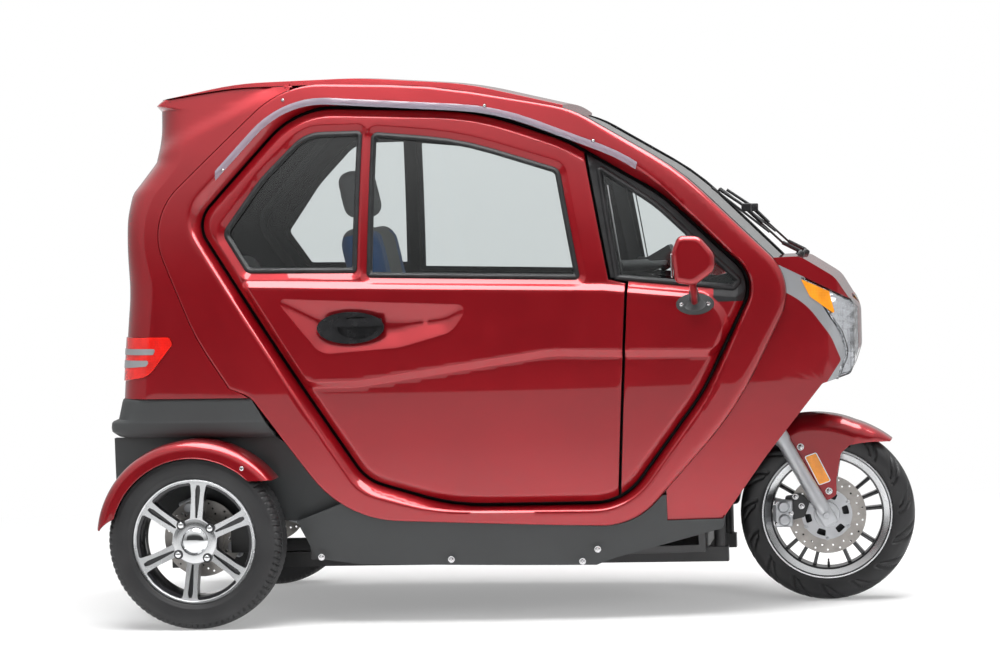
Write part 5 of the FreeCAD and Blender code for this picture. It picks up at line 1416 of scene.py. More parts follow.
def make_fender():
    hub = FRONT_HUB
    rows = []
    for degrees in np.linspace(48.0, 150.0, 76):
        top = float(np.interp(degrees, *zip(*FENDER_TOP)))
        skirt = float(np.interp(degrees, *zip(*FENDER_SKIRT)))
        half = float(np.interp(degrees, *zip(*FENDER_WIDTH)))
        corner = min(42.0, (top - skirt) * 0.8, half * 0.8)
        side = [(skirt + (top - corner - skirt) * t, -half) for t in np.linspace(0, 1, 7)]
        round_part = [(top - corner + corner * math.sin(a),
                       -half + (half * 0.62) * (1 - math.cos(a)))
                      for a in np.radians(np.linspace(0, 78, 9)[1:])]
        last_r, last_y = round_part[-1]
        crown = [(last_r + (top - last_r) * math.sin(math.pi / 2 * t), last_y * (1 - t))
                 for t in np.linspace(0, 1, 7)[1:]]
        half_row = side + round_part + crown
        row = half_row + [(r, -y) for r, y in half_row[-2::-1]]
        rows.append([arc_point(hub, r, degrees, y) for r, y in row])
    shell = facing(grid_object("fender", rows), away_from(hub))
    modifier(shell, "SOLIDIFY", thickness=3.0 * MM, offset=-1.0)
    shell = weighted(smooth(shell, 40.0))
    tabs = []
    for low in (68.0, -71.4):
        tab = plate("tab", walked(FENDER_TAB, 8.0), (), low, low + 3.4, 0.0, 12.0)
        tabs.append(rounded_edges(tab, 1.0, 2, 50.0))
    hand_over(joined("front_fender_shell", shell, *tabs), "steering", "body_paint",
              finishes["paint"], replaces=("front_fender",))
    holder = plate("reflector_holder", walked(grown(REFLECTOR, 2.5), 8.0), (), 71.0, 74.0, 0.0,
                   20.0)
    lens = plate("fender_reflector", walked(REFLECTOR, 8.0), (), 73.0, 77.5, 0.0, 20.0)
    lens = rounded_edges(lens, 1.2, 2, 50.0)
    both_sides(lens, "fender_reflector", "steering", "lamp_lens", None, finishes["amber"])
    for obj in (holder, twin(holder, "reflector_holder_left")):
        hand_over(obj, "steering", "silver_trim", finishes["chrome"])
    screws = bolts("fender_screws", [spot(1591, -72, 424.6), spot(1665.5, -72, 302.8)], (0, -1, 0),
                   7.0, 5.0)
    both_sides(screws, "fender_screws", "steering", "silver_trim", None, finishes["bolt"])


# ---------------------------------------------------------------- fork and brakes
STEER_AXIS = Vector((-0.48481, 0.0, 0.87462))


def along_fork(distance_up, y):
    """A point on the fork, by its distance up the leg from the wheel axle."""
    place = FRONT_HUB + STEER_AXIS * distance_up
    return spot(place.x, y, place.z)


def make_fork():
    legs = []
    axis = tuple(STEER_AXIS)
    for side in (-1, 1):
        y = 88.0 * side
        legs.append(turned("slider",
                           [(0, -22), (12, -21), (16, -18), (20.5, 20), (20.5, 60), (19, 120),
                            (19, 226), (22.5, 236), (22.5, 262), (19.5, 266), (0, 266)], 40,
                           along_fork(0, y), axis))
        lug = bar_at("lug", Vector((0, 0, 0)), -24, 34, 21, 21, -15, 15, 6.0)
        lug.data.transform(Matrix.Translation(along_fork(-4, y))
                           @ Matrix.Rotation(math.radians(-119.0), 4, "Y")
                           @ Matrix.Translation(-spot(0, 0, 0)))
        legs.append(lug)
        legs.append(turned("axle_nut",
                           [(0, 9), (8, 9), (9.5, 7), (9.5, 3), (13, 2.4), (13, 0), (0, 0)], 24,
                           spot(FRONT_HUB.x, y + 15 * side, FRONT_HUB.z), (0, side, 0)))
    spindle = turned("spindle", [(0, -92), (8, -92), (8, 92), (0, 92)], 24, spot(*FRONT_HUB))
    hand_over(joined("fork_sliders", *legs, spindle), "steering", "fork_metal", finishes["cast"],
              replaces=("fork",))
    tubes = [turned("stanchion", [(0, 240), (14, 240), (14, 372), (0, 372)], 32,
                    along_fork(0, 88.0 * side), axis)
             for side in (-1, 1)]
    hand_over(joined("fork_tubes", *tubes), "steering", "fork_metal", finishes["chrome"])
    crown = bar_at("crown", Vector((0, 0, 0)), -106, 106, 24, 24, -16, 16, 10.0)
    crown.data.transform(Matrix.Translation(along_fork(356, 0))
                         @ Matrix.Rotation(math.radians(-29.0), 4, "Y")
                         @ Matrix.Rotation(math.radians(90), 4, "Z")
                         @ Matrix.Translation(-spot(0, 0, 0)))
    column = turned("column", [(0, 356), (16, 356), (16, 780), (0, 780)], 32, along_fork(0, 0),
                    axis)
    hand_over(joined("fork_crown", crown, column), "steering", "black_metal",
              finishes["black_metal"])
    x, z = FRONT_HUB.x, FRONT_HUB.z
    parts = [block("caliper_outer", (x - 142, -90, z - 32), (x - 92, -66, z + 44), 7.0, 3),
             block("caliper_inner", (x - 142, -52, z - 26), (x - 96, -36, z + 38), 6.0, 3),
             block("caliper_bridge", (x - 146, -86, z - 18), (x - 116, -40, z + 30), 6.0, 3)]
    for dx, dz, radius in ((-116, 24, 17), (-114, -12, 17)):
        parts.append(turned("piston",
                            [(0, 14), (radius - 5, 14), (radius - 2, 11), (radius, 6), (radius, 0),
                             (0, 0)], 32,
                            spot(x + dx, -84, z + dz), (0, -1, 0)))
    hand_over(joined("front_caliper", *parts), "steering", "fork_metal", finishes["cast"])
    arm_outline = [(x - 118, z + 52, 8), (x - 66, z + 58, 14), (x - 46, z + 34, 10),
                   (x - 60, z - 6, 10), (x - 96, z - 14, 8), (x - 104, z + 30, 8)]
    arm = rounded_edges(plate("caliper_arm", walked(arm_outline, 9.0), (), 63.5, 72.0, 0.0, 20.0),
                        1.5, 2, 50.0)
    hand_over(arm, "steering", "black_metal", finishes["black_metal"])
    spots = [spot(x - 84, -72, z + 50), spot(x - 68, -72, z + 24), spot(x - 136, -86, z + 34),
             spot(x - 136, -86, z - 22), spot(x - 98, -88, z + 6)]
    hand_over(bolts("caliper_bolts", spots, (0, -1, 0), 6.0, 5.0), "steering", "silver_trim",
              finishes["bolt"])


def make_rear_running_gear():
    """Calipers with their bolts, coil springs and dampers."""
    parts, heads = [], []
    for side in (-1, 1):
        for turn in (-16.0, 112.0):
            base = REAR_HUB.z
            one = block("caliper", (62, -440, base - 26), (112, -402, base + 26), 6.0, 3)
            boss = turned("boss", [(0, 12), (12, 12), (15, 8), (15, 0), (0, 0)], 24,
                          spot(88, -438, base), (0, -1, 0))
            one = joined("caliper", one, boss)
            one.data.transform(around(Vector((0, 0, base)), turn))
            screw = bolts("screw", [spot(72, -441, base + 17), spot(72, -441, base - 17)],
                          (0, -1, 0), 5.0, 4.0)
            screw.data.transform(around(Vector((0, 0, base)), turn))
            if side > 0:
                for obj in (one, screw):
                    obj.data.transform(Matrix.Scale(-1, 4, (0, 1, 0)))
                    obj.data.flip_normals()
            parts.append(one)
            heads.append(screw)
    hand_over(joined("rear_calipers", *parts), "body", "black_metal", finishes["cast"])
    hand_over(joined("rear_caliper_bolts", *heads), "body", "silver_trim", finishes["bolt"])
    springs = []
    for side in (-1, 1):
        steps = np.linspace(0, 1, 160)
        points = [spot(-40 + 26 * math.cos(t * 12 * math.pi),
                       side * 330 + 26 * math.sin(t * 12 * math.pi), 285 + 170 * t) for t in steps]
        springs.append(tube("spring", points, 5.0, 3))
        springs.append(turned("damper",
                              [(0, 270), (14, 270), (14, 380), (8, 382), (8, 480), (0, 480)], 24,
                              spot(-40, side * 330, 0), (0, 0, 1)))
    hand_over(joined("rear_springs", *springs), "body", "black_metal", finishes["black_metal"])


# ---------------------------------------------------------------- trim pieces
def wrapped_row(front, rear, corner, depth, flat_steps=10, corner_steps=8, rear_steps=12):
    """Points along a flank, round a corner and across the rear, mirrored to the other flank."""
    (ax, az), (bx, bz) = front, rear
    share = corner / math.hypot(ax - bx, az - bz)
    cx, cz = bx + (ax - bx) * share, bz + (az - bz) * share
    flat = [(ax + (cx - ax) * t, az + (cz - az) * t, 0.0) for t in np.linspace(0, 1, flat_steps)]
    for a in np.radians(np.linspace(0, 90, corner_steps + 1)[1:]):
        flat.append((cx + (bx - cx) * math.sin(a), cz + (bz - cz) * math.sin(a),
                     corner * (1 - math.cos(a))))
    places = np.array(flat)
    y = side_y(places[:, 0], places[:, 1], np.full(len(places), depth)) + places[:, 2]
    half = [(x, yy, z) for (x, z, _), yy in zip(flat, y)]
    half += [(bx, half[-1][1] * (1 - t), bz) for t in np.linspace(0, 1, rear_steps + 1)[1:]]
    return [spot(*p) for p in half] + [spot(x, -yy, z) for x, yy, z in half[-2::-1]]


def make_bumper():
    """The rear bumper: a crest with a step under it, wrapped round three sides."""
    levels = [(611.0, -228, 14), (608.0, -231, 17), (600, -233, 20), (578, -238, 22),
              (556, -243, 25), (550, -258, 27),
              (545, -263, 28), (533, -264.5, 28), (522, -263, 27), (516, -256, 24), (508, -246, 14),
              (506.5, -240, 10)]
    rows = []
    for z, x, depth in levels:
        front = 150.0 + (612.0 - z) * 0.62
        rows.append(wrapped_row((front, z), (x, z), 74.0, depth, 14, 9, 12))
    shell = facing(grid_object("bumper", rows), to_the_rear)
    modifier(shell, "SOLIDIFY", thickness=10.0 * MM, offset=-1.0)
    shell = weighted(smooth(shell, 34.0))
    hand_over(shell, "body", "dark_trim", finishes["trim"], replaces=("rear_bumper",))


MIRROR_HEAD = [(1290, 972, 40), (1308, 1014, 20), (1362, 1012, 34), (1400, 966, 40),
               (1402, 922, 30), (1346, 883, 40), (1298, 893, 16)]


def follow_side(obj, x, z):
    """Bend a small flat piece to the curve of the body side about one of its points."""
    for vertex in obj.data.vertices:
        away = side_y(np.array([(vertex.co.x - AHEAD) / MM]), np.array([vertex.co.z / MM]), 0.0)
        vertex.co.y += (float(away[0]) - float(side_y(x, z, 0.0))) * MM
    return obj


def make_mirrors():
    head = side_prism(MIRROR_HEAD, -549.0, -488.0)
    modifier(head, "BEVEL", width=17.0 * MM, segments=5, limit_method="ANGLE",
             angle_limit=math.radians(60), use_clamp_overlap=True)
    head = weighted(smooth(head, 40.0))
    outer = MOULDING_PROUD
    base = on_side(1338, 836, outer + 12.0)
    neck_top = spot(1342, -512, 892)
    arm = tube("arm", [neck_top, neck_top.lerp(base, 0.5), base], 9.5)
    right, _ = both_sides(joined("mirror", head, arm), "mirror", "body", "body_paint", None,
                          finishes["paint"])
    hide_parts("mirrors")
    flange = turned("flange", [(0, 7), (12, 7), (17, 4), (24, 2.5), (25, 0), (25, -6), (0, -6)], 48,
                    (0, 0, 0), (0, -1, 0))
    flange.data.transform(Matrix.Translation(on_side(1338, 832, outer - 1.0))
                          @ Matrix.Diagonal((2.0, 1.0, 1.15, 1.0)))
    follow_side(flange, 1338, 832)
    boot = turned("boot", [(0, 52), (11, 52), (12, 44), (15, 14), (24, 3), (30, 0), (0, 0)], 32,
                  on_side(1338, 834, outer + 2.0), (0, -0.66, 0.75))
    both_sides(joined("mirror_base_right", smooth(flange, 40.0), boot), "mirror_base", "body",
               "dark_trim", None, finishes["trim"])
    glass = block("mirror_glass_right", (1287.5, -538, 906), (1293.0, -500, 968), 2.5, 2)
    both_sides(glass, "mirror_glass", "body", "silver_trim", None, finishes["chrome"])
    screws = bolts("mirror_screws_right",
                   [on_side(1303, 832, outer + 4.0), on_side(1373, 832, outer + 4.0)], (0, -1, 0),
                   4.5, 3.0)
    both_sides(screws, "mirror_screws", "body", "silver_trim", None, finishes["bolt"])


def make_wipers():
    """Two arms with jointed blades that lie on the windscreen."""
    arms = []
    for across in (0.0, 330.0):
        pivot = spot(1602, -130 + across, 948)
        elbow = spot(1560, -150 + across, 985)
        joint = spot(1468, -232 + across, 1078)
        arms.append(turned("boss", [(0, 16), (8, 16), (11, 12), (12, 0), (0, 0)], 24, pivot,
                           (0.6, 0, 0.8)))
        arms.append(tube("root", [pivot + Vector((0.004, 0, 0.012)), elbow], 5.5))
        arms.append(tube("arm", [elbow, joint], 3.0))
        ends = (spot(1378, -238 + across, 1139), spot(1530, -238 + across, 1015))
        rubber = tube("blade", ends, 3.2)
        rail = tube("rail",
                    [ends[0].lerp(ends[1], 0.12) + Vector((0, 0, 0.010)),
                     joint + Vector((0, 0, 0.006)),
                     ends[0].lerp(ends[1], 0.88) + Vector((0, 0, 0.010))], 4.0)
        clip = block("clip", (1456, -242 + across, 1072), (1482, -224 + across, 1094), 3.0)
        arms += [rubber, rail, clip]
    hand_over(joined("wiper_set", *arms), "body", "dark_trim", finishes["rubber"],
              replaces=("wipers",))


def make_divider():
    """The bright run channel along the rear edge of the quarter window."""
    low, high = Vector((1134, 904)), Vector((1097, 1150))
    normal = Vector(((high - low).y, -(high - low).x)).normalized()
    a, b, half = low + normal * 15.0, high + normal * 15.0, normal * 1.6
    strip = walked([(*corner, 0) for corner in (a + half, b + half, b - half, a - half)], 12.0)
    divider = pressed_panel("divider", strip, [], [], lambda flat: np.full(len(flat), -9.0), -14.0,
                            8.0)
    both_sides(divider, "quarter_divider", "body", "silver_trim", None, finishes["chrome"],
               finishes["chrome"])


def make_handles():
    """Door handles with their dishes and a round lock."""
    for side in ("right", "left"):
        handle = rounded_edges(copy_of(f"door_{side}_handle", "handle_" + side), 0.8, 1, 40.0)
        handle.data.transform(Matrix.Translation((0, (-0.007 if side == "right" else 0.007), 0)))
        hand_over(handle, f"door_{side}_body", "dark_trim", finishes["handle"],
                  replaces=(f"door_{side}_handle",))
    dish = turned("handle_dish_right", [(0, 2), (32, 2), (38, 0), (38, -3), (0, -3)], 64, (0, 0, 0),
                  (0, -1, 0))
    dish.data.transform(Matrix.Translation(on_side(428, 793, MOULDING_PROUD - SCOOP_DEPTH + 2.5))
                        @ Matrix.Diagonal((2.2, 1.0, 1.0, 1.0)))
    both_sides(follow_side(dish, 428, 793), "handle_dish", "door_{}_body", "dark_trim", None,
               finishes["handle"])
    lock = turned("door_lock_right",
                  [(0, 3.5), (1.2, 3.5), (1.4, 3.0), (6.6, 3.0), (8.2, 1.8), (8.6, -3), (0, -3)],
                  32, on_side(362, 783, 9.0), (0, -1, 0))
    both_sides(lock, "door_lock", "door_{}_body", "silver_trim", None, finishes["chrome"])


def make_frames():
    """Softened copies of the plain metal and moulded parts."""
    for node, body, width, look in (("sill_right", "body", 3.0, "trim"),
                                    ("sill_left", "body", 3.0, "trim"),
                                    ("chassis_frame", "body", 1.5, "black_metal"),
                                    ("battery_box", "body", 8.0, "battery"),
                                    ("floor_pan", "body", 2.0, "black_metal"),
                                    ("dashboard", "body", 4.0, "interior"),
                                    ("rear_axle", "body", 1.5, "black_metal"),
                                    ("handlebar", "steering", 1.0, "black_metal")):
        piece = rounded_edges(copy_of(node, node + "_soft"), width, 2, 40.0)
        slot = next(part["material_slot"] for part in frame["record"]["subparts"]
                    if part["node"] == node)
        hand_over(weighted(piece), body, slot, finishes[look], replaces=(node,))
    spots = [spot(328.2, -462, 182.0), spot(678.6, -462, 171.8), spot(1026.1, -440, 160.0),
             spot(1066.9, -436, 191.3)]
    screws = bolts("sill_screws_right", spots, (0, -1, 0), 6.5, 4.0)
    both_sides(screws, "sill_screws", "body", "silver_trim", None, finishes["bolt"])


# ---------------------------------------------------------------- seats
def pad(name, low, high, edge, pinch, swell, cap):
    """A padded form: a rounded block blown up as cloth, then relaxed to its cap."""
    obj = block(name, low, high, edge, 4)
    modifier(obj, "REMESH", mode="VOXEL", voxel_size=0.006)
    rest = [vertex.co.copy() for vertex in obj.data.vertices]
    only(obj)
    cloth = obj.modifiers.new("Cloth", "CLOTH")
    cloth.settings.use_pressure = True
    cloth.settings.uniform_pressure_force = swell
    cloth.settings.effector_weights.gravity = 0.0
    cloth.settings.tension_stiffness = 30.0
    cloth.settings.compression_stiffness = 30.0
    cloth.point_cache.frame_start, cloth.point_cache.frame_end = 1, 20
    for step in range(1, 21):
        bpy.context.scene.frame_set(step)
    bpy.ops.object.modifier_apply(modifier="Cloth")
    bpy.context.scene.frame_set(1)
    for vertex, start in zip(obj.data.vertices, rest):
        move = vertex.co - start
        if move.length > cap * MM:
            vertex.co = start + move.normalized() * cap * MM
    modifier(obj, "SMOOTH", factor=0.5, iterations=pinch)
    only(obj)
    bpy.ops.object.shade_smooth()
    return obj


def seam(obj, point, normal, depth, width):
    """Draw a sewn line in where a plane meets the pad."""
    normal = Vector(normal).normalized()
    for vertex in obj.data.vertices:
        away = abs((vertex.co - point).dot(normal)) / (width * MM)
        if away < 1:
            vertex.co -= vertex.normal * depth * MM * (1 - away) ** 2
    return obj


def make_seats():
    low, high = [Vector(c) / MM - Vector((AHEAD / MM, 0, 0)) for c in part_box("driver_seat")]
    cushion = pad("driver_cushion", (low.x + 96, low.y + 14, low.z + 14),
                  (high.x - 14, high.y - 14, low.z + 112), 26.0, 4, 4.0, 12.0)
    seam(cushion, spot(high.x - 110, 0, 0), (1, 0, 0), 5.0, 9.0)
    hand_over(cushion, "body", "seat_cloth", finishes["grey_cloth"], replaces=("driver_seat",))
    tilt = math.radians(-12.0)
    turn = (Matrix.Translation(spot(low.x + 130, 0, low.z + 100)) @ Matrix.Rotation(tilt, 4, "Y")
            @ Matrix.Translation(-spot(low.x + 130, 0, low.z + 100)))
    back = pad("driver_back", (low.x + 104, low.y + 24, low.z + 100),
               (low.x + 190, high.y - 24, low.z + 572), 30.0, 4, 4.0, 12.0)
    seam(back, spot(0, 0, low.z + 330), (0, 0, 1), 5.0, 9.0)
    for face in back.data.polygons:
        up, across = face.center.z / MM - low.z, abs(face.center.y) / MM
        face.material_index = int(up < 330 or across > 95 and up < 545)
    rest = pad("driver_headrest", (low.x + 116, -125, low.z + 592), (low.x + 188, 125, low.z + 722),
               30.0, 4, 4.0, 10.0)
    posts = [tube("post", [spot(low.x + 150, y, low.z + 520), spot(low.x + 150, y, low.z + 640)],
                  6.0) for y in (-55, 55)]
    bars = joined("headrest_posts", *posts)
    for obj in (back, rest, bars):
        obj.data.transform(turn)
    hand_over(back, "body", "seat_cloth", finishes["grey_cloth"], finishes["blue_cloth"])
    hand_over(rest, "body", "seat_cloth", finishes["grey_cloth"])
    hand_over(bars, "body", "black_metal", finishes["chrome"])
    low, high = [Vector(c) / MM - Vector((AHEAD / MM, 0, 0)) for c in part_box("rear_bench")]
    bench = pad("bench_cushion", (low.x + 96, low.y + 14, low.z + 12),
                (high.x - 14, high.y - 14, low.z + 118), 26.0, 4, 4.0, 12.0)
    seam(bench, spot(0, 0, 0), (0, 1, 0), 5.0, 9.0)
    hand_over(bench, "body", "seat_cloth", finishes["grey_cloth"], replaces=("rear_bench",))
    rest = pad("bench_back", (low.x + 60, low.y + 20, low.z + 112),
               (low.x + 138, high.y - 20, high.z - 14), 30.0, 4, 4.0, 12.0)
    seam(rest, spot(0, 0, 0), (0, 1, 0), 5.0, 9.0)
    base = spot(low.x + 100, 0, low.z + 110)
    rest.data.transform(Matrix.Translation(base) @ Matrix.Rotation(math.radians(-7), 4, "Y")
                        @ Matrix.Translation(-base))
    hand_over(rest, "body", "seat_cloth", finishes["grey_cloth"])


# ---------------------------------------------------------------- nose and roof
def make_roof():
    """The roof skin with a dark lining underneath."""
    roof = rounded_edges(copy_of("roof_panel", "roof_skin"), 2.0, 2, 40.0)
    paint_with(roof, finishes["paint"], finishes["interior"])
    for face in roof.data.polygons:
        face.material_index = int(face.normal.z < -0.3)
    hand_over(weighted(roof), "body", "body_paint", replaces=("roof_panel",))


def nose_plan(x):
    (x0, y0), (x1, y1) = NOSE_SIDE
    return y0 + (y1 - y0) * (x - x0) / (x1 - x0)


HOOD_DROP = 15.0                # how far the middle of the hood lies below its first shape


def make_nose():
    for node, name, width, look in (("hood", "hood_skin", 3.0, "paint"),
                                    ("front_fascia", "nose_skin", 3.0, "paint"),
                                    ("lamp_bezels", "headlamp_bezels", 2.0, "silver")):
        piece = rounded_edges(copy_of(node, name), width, 2, 30.0)
        slot = "silver_trim" if look == "silver" else "body_paint"
        if node == "hood":
            for vertex in piece.data.vertices:
                across = max(0.0, 1.0 - (vertex.co.y / 0.31) ** 2)
                forward = float(ease((vertex.co.x - AHEAD) / MM - 1590.0, 110.0))
                above = float(ease(vertex.co.z / MM - 800.0, 70.0))
                vertex.co.z -= HOOD_DROP * MM * across * forward * above
        hand_over(weighted(piece), "body", slot, finishes[look], replaces=(node,))
    lens = rounded_edges(copy_of("headlamps", "headlamp_lenses"), 1.2, 2, 30.0)
    hand_over(weighted(lens), "body", "lamp_lens", finishes["lens"], replaces=("headlamps",))
    bowl = rounded_edges(copy_of("headlamps", "headlamp_reflectors"), 1.2, 2, 30.0)
    only(bowl)
    modifier(bowl, "DISPLACE", strength=-7.0 * MM, mid_level=0.0)
    hand_over(weighted(bowl), "body", "silver_trim", finishes["reflector"])
    loop = walked(AMBER, 12.0)
    cell = 12.0

    def at_depth(depth):
        def place(flat):
            y = np.maximum(side_y(flat[:, 0], flat[:, 1], np.zeros(len(flat))),
                           nose_plan(flat[:, 0])) - depth
            return np.stack([AHEAD + flat[:, 0] * MM, y * MM, flat[:, 1] * MM], 1)
        return place
    amber = sheet("turn_lamp_right", loop, [], [], at_depth(6.5), at_depth(-8.0), cell)
    both_sides(amber, "turn_lamp", "body", "lamp_lens", None, finishes["amber"], finishes["amber"])


# ---------------------------------------------------------------- stage
CAMERA_PLACE = (1.1436, -8.41835, 1.07257)
CAMERA_YAW = 0.1415014
CAMERA_PITCH = 0.0378162
CAMERA_ROLL = -0.0280934


def camera_matrix():
    forward = Vector((-math.sin(CAMERA_YAW), math.cos(CAMERA_YAW), 0))
    right = Vector((math.cos(CAMERA_YAW), math.sin(CAMERA_YAW), 0))
    up = Vector((0, 0, 1))
    ahead = forward * math.cos(CAMERA_PITCH) - up * math.sin(CAMERA_PITCH)
    above = up * math.cos(CAMERA_PITCH) + forward * math.sin(CAMERA_PITCH)
    across = right * math.cos(CAMERA_ROLL) + above * math.sin(CAMERA_ROLL)
    top = above * math.cos(CAMERA_ROLL) - right * math.sin(CAMERA_ROLL)
    turned = Matrix((across, top, -ahead)).transposed().to_4x4()
    return Matrix.Translation(CAMERA_PLACE) @ turned


def seen_rays(tree):
    """1 for the rays that show the background: camera, glass and glossy ones."""
    path = add_node(tree, "LightPath")
    total = path.outputs["Is Camera Ray"]
    for name in ("Is Transmission Ray", "Is Glossy Ray"):
        either = add_node(tree, "Math", operation="MAXIMUM")
        tree.links.new(total, either.inputs[0])
        tree.links.new(path.outputs[name], either.inputs[1])
        total = either.outputs[0]
    return total


FLOOR_SIZE = 60.0
FADE_FROM, FADE_TO = 1.1, 3.4    # metres from the middle, where floor turns into background
FLAG_AWAY, FLAG_WIDTH, FLAG_HEIGHT = 11.0, 26.0, 8.4
# cards that only reflections see: name, turn in degrees, start of the light, low and high level
FLAGS = (("near_flag", 0, 3.2, 0.06, 1.0), ("front_flag", 90, 0.5, 0.38, 0.9),
         ("far_flag", 180, 0.5, 0.38, 0.9), ("rear_flag", 270, 0.5, 0.38, 0.9))
# name, place, target, width, depth, share of the key light, seen in reflections
SOFTBOXES = (("overhead", (0.3, -0.6, 4.2), (0, 0, 0.5), 5.0, 3.0, 1.0, True),
             ("front_fill", (4.5, -5.0, 2.6), (0.3, 0, 0.6), 2.6, 2.2, 0.25, False),
             ("rear_fill", (-4.5, -3.5, 2.4), (-0.4, 0, 0.7), 2.2, 2.2, 0.16, False))


def make_floor():
    """A white floor that shades into the background away from the car."""
    bpy.ops.mesh.primitive_plane_add(size=FLOOR_SIZE, location=(0, 0, CAD_BOX[0][2]))
    floor = bpy.context.object
    floor.name = "floor"
    settle(floor)
    white = finish("floor_white", (0.90, 0.90, 0.90), 0.9, 0.0, Specular_IOR_Level=0.1)
    tree = white.node_tree
    nodes, link = tree.nodes, tree.links.new
    glow = add_node(tree, "Emission")
    place = add_node(tree, "TexCoord")
    far = add_node(tree, "VectorMath", operation="LENGTH")
    link(place.outputs["Object"], far.inputs[0])
    fade = add_node(tree, "MapRange", From_Min=FADE_FROM, From_Max=FADE_TO, To_Min=0.30, To_Max=1.0)
    link(far.outputs["Value"], fade.inputs["Value"])
    weight = add_node(tree, "Math", operation="MULTIPLY")
    link(seen_rays(tree), weight.inputs[0])
    link(fade.outputs["Result"], weight.inputs[1])
    mix = add_node(tree, "MixShader")
    link(weight.outputs[0], mix.inputs["Fac"])
    link(nodes["Principled BSDF"].outputs[0], mix.inputs[1])
    link(glow.outputs[0], mix.inputs[2])
    link(mix.outputs[0], nodes["Material Output"].inputs["Surface"])
    paint_with(floor, white)


def make_flag(name, angle, rise_from, low, high):
    """A tall card that only reflections see, dark at its foot and light at its top."""
    bpy.ops.mesh.primitive_plane_add(size=1.0)
    flag = bpy.context.object
    flag.name = name
    flag.data.transform(Matrix.Rotation(math.radians(angle), 4, "Z")
                        @ Matrix.Translation((0, -FLAG_AWAY, FLAG_HEIGHT / 2))
                        @ Matrix.Rotation(math.radians(90), 4, "X")
                        @ Matrix.Diagonal((FLAG_WIDTH, FLAG_HEIGHT, 1.0, 1.0)))
    settle(flag)
    look = bpy.data.materials.new(name + "_look")
    look.use_nodes = True
    tree = look.node_tree
    nodes, link = tree.nodes, tree.links.new
    nodes.remove(nodes["Principled BSDF"])
    place = add_node(tree, "TexCoord")
    split = add_node(tree, "SeparateXYZ")
    link(place.outputs["Object"], split.inputs[0])
    rise = add_node(tree, "MapRange", interpolation_type="SMOOTHSTEP", From_Min=rise_from,
                    From_Max=FLAG_HEIGHT, To_Min=low, To_Max=high)
    link(split.outputs["Z"], rise.inputs["Value"])
    card = add_node(tree, "Emission")
    link(rise.outputs["Result"], card.inputs["Color"])
    link(card.outputs[0], nodes["Material Output"].inputs["Surface"])
    paint_with(flag, look)
    flag.visible_camera = flag.visible_diffuse = False
    flag.visible_shadow = flag.visible_transmission = False


def make_stage():
    """Camera, floor, plain surroundings, reflection cards and softboxes."""
    stage = bpy.context.scene.trike_stage
    camera = bpy.data.cameras.new("camera")
    camera.lens = stage.lens
    camera.sensor_width = 36.0
    view = linked("camera", camera)
    view.matrix_world = camera_matrix()
    bpy.context.scene.camera = view
    bpy.context.scene.view_settings.view_transform = "Standard"
    make_floor()
    world = bpy.data.worlds.new("studio")
    world.use_nodes = True
    bpy.context.scene.world = world
    tree = world.node_tree
    level = add_node(tree, "Math", operation="MAXIMUM")
    level.inputs[1].default_value = stage.sky
    tree.links.new(seen_rays(tree), level.inputs[0])
    tree.links.new(level.outputs[0], tree.nodes["Background"].inputs["Color"])
    tree.nodes["Background"].inputs["Strength"].default_value = 1.0
    for row in FLAGS:
        make_flag(*row)
    for name, place, target, wide, deep, share, mirrored in SOFTBOXES:
        lamp = bpy.data.lights.new(name, "AREA")
        lamp.shape = "RECTANGLE"
        lamp.size = wide
        lamp.size_y = deep
        lamp.energy = stage.key * share
        obj = linked(name, lamp)
        obj.visible_glossy = mirrored
        obj.location = place
        obj.rotation_euler = (Vector(target) - Vector(place)).to_track_quat("-Z", "Y").to_euler()


# ---------------------------------------------------------------- operators
class TRIKE_OT_sides(bpy.types.Operator):
    """Make the hoops, door skins and fixed front panels of both sides."""
    bl_idname = "trike.sides"
    bl_label = "Body sides"

    def execute(self, context):
        make_sides()
        return {"FINISHED"}


class TRIKE_OT_seals(bpy.types.Operator):
    """Make the window rubbers, the door gaskets and the rain strips."""
    bl_idname = "trike.seals"
    bl_label = "Seals and rain strips"

    def execute(self, context):
        make_seals()
        make_visors()
        return {"FINISHED"}


class TRIKE_OT_rear(bpy.types.Operator):
    """Make the rear quarter, the boot door, its hinges and the tail lamps."""
    bl_idname = "trike.rear"
    bl_label = "Rear of the body"

    def execute(self, context):
        make_rear()
        return {"FINISHED"}


class TRIKE_OT_front_wheel(bpy.types.Operator):
    """Make the front tyre, rim, spokes and brake disc."""
    bl_idname = "trike.front_wheel"
    bl_label = "Front wheel"

    def execute(self, context):
        make_front_wheel()
        return {"FINISHED"}


class TRIKE_OT_rear_wheels(bpy.types.Operator):
    """Make both rear wheels with their tyres and brake discs."""
    bl_idname = "trike.rear_wheels"
    bl_label = "Rear wheels"

    def execute(self, context):
        make_rear_wheels()
        return {"FINISHED"}


class TRIKE_OT_guards(bpy.types.Operator):
    """Make the rear mudguards and the front fender."""
    bl_idname = "trike.guards"
    bl_label = "Mudguards and fender"

    def execute(self, context):
        make_mudguards()
        make_fender()
        return {"FINISHED"}


class TRIKE_OT_fork(bpy.types.Operator):
    """Make the front fork, its caliper and the rear running gear."""
    bl_idname = "trike.fork"
    bl_label = "Fork and brakes"

    def execute(self, context):
        make_fork()
        make_rear_running_gear()
        return {"FINISHED"}


class TRIKE_OT_trim(bpy.types.Operator):
    """Make the bumper, mirrors, door handles and softened frame parts."""
    bl_idname = "trike.trim"
    bl_label = "Trim"

    def execute(self, context):
        make_bumper()
        make_mirrors()
        make_handles()
        make_wipers()
        make_divider()
        make_frames()
        return {"FINISHED"}


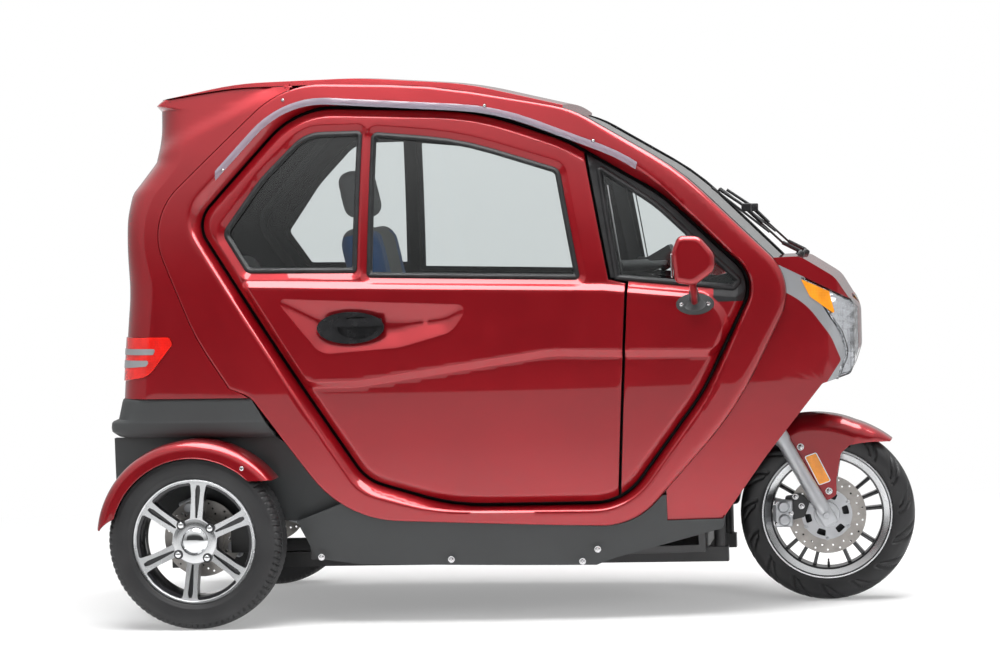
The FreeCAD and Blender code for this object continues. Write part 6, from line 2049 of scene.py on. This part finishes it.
class TRIKE_OT_seats(bpy.types.Operator):
    """Make the padded seats."""
    bl_idname = "trike.seats"
    bl_label = "Seats"

    def execute(self, context):
        make_seats()
        return {"FINISHED"}


class TRIKE_OT_nose(bpy.types.Operator):
    """Make the nose, its lamps and the roof."""
    bl_idname = "trike.nose"
    bl_label = "Nose and roof"

    def execute(self, context):
        make_nose()
        make_roof()
        return {"FINISHED"}


class TRIKE_OT_stage(bpy.types.Operator):
    """Make the floor, lights and camera."""
    bl_idname = "trike.stage"
    bl_label = "Stage"

    def execute(self, context):
        make_stage()
        return {"FINISHED"}


class TRIKE_PT_pieces(bpy.types.Panel):
    """Lists the pieces and their settings."""
    bl_idname = "TRIKE_PT_pieces"
    bl_label = "Cabin tricycle"
    bl_space_type = "VIEW_3D"
    bl_region_type = "UI"
    bl_category = "Tricycle"

    def draw(self, context):
        for group in (context.scene.trike_looks, context.scene.trike_stage):
            for name in group.__annotations__:
                self.layout.prop(group, name)
        for operator in OPERATORS:
            self.layout.operator(operator.bl_idname)


OPERATORS = (TRIKE_OT_stage, TRIKE_OT_sides, TRIKE_OT_seals, TRIKE_OT_rear,
             TRIKE_OT_front_wheel, TRIKE_OT_rear_wheels, TRIKE_OT_guards, TRIKE_OT_fork,
             TRIKE_OT_trim, TRIKE_OT_seats, TRIKE_OT_nose)
GROUPS = (("trike_looks", TrikeLooks), ("trike_stage", TrikeStage))


def register():
    for _, group in GROUPS:
        bpy.utils.register_class(group)
    for operator in OPERATORS:
        bpy.utils.register_class(operator)
    bpy.utils.register_class(TRIKE_PT_pieces)
    for name, group in GROUPS:
        setattr(bpy.types.Scene, name, PointerProperty(type=group))


def unregister():
    for name, _ in GROUPS:
        delattr(bpy.types.Scene, name)
    bpy.utils.unregister_class(TRIKE_PT_pieces)
    for operator in reversed(OPERATORS):
        bpy.utils.unregister_class(operator)
    for _, group in reversed(GROUPS):
        bpy.utils.unregister_class(group)


def main():
    register()
    finishes.update(make_materials())
    finish_nodes()
    bpy.ops.trike.stage()
    bpy.ops.trike.sides()
    bpy.ops.trike.seals()
    bpy.ops.trike.rear()
    bpy.ops.trike.front_wheel()
    bpy.ops.trike.rear_wheels()
    bpy.ops.trike.guards()
    bpy.ops.trike.fork()
    bpy.ops.trike.trim()
    bpy.ops.trike.seats()
    bpy.ops.trike.nose()


if __name__ == "__main__":
    main()
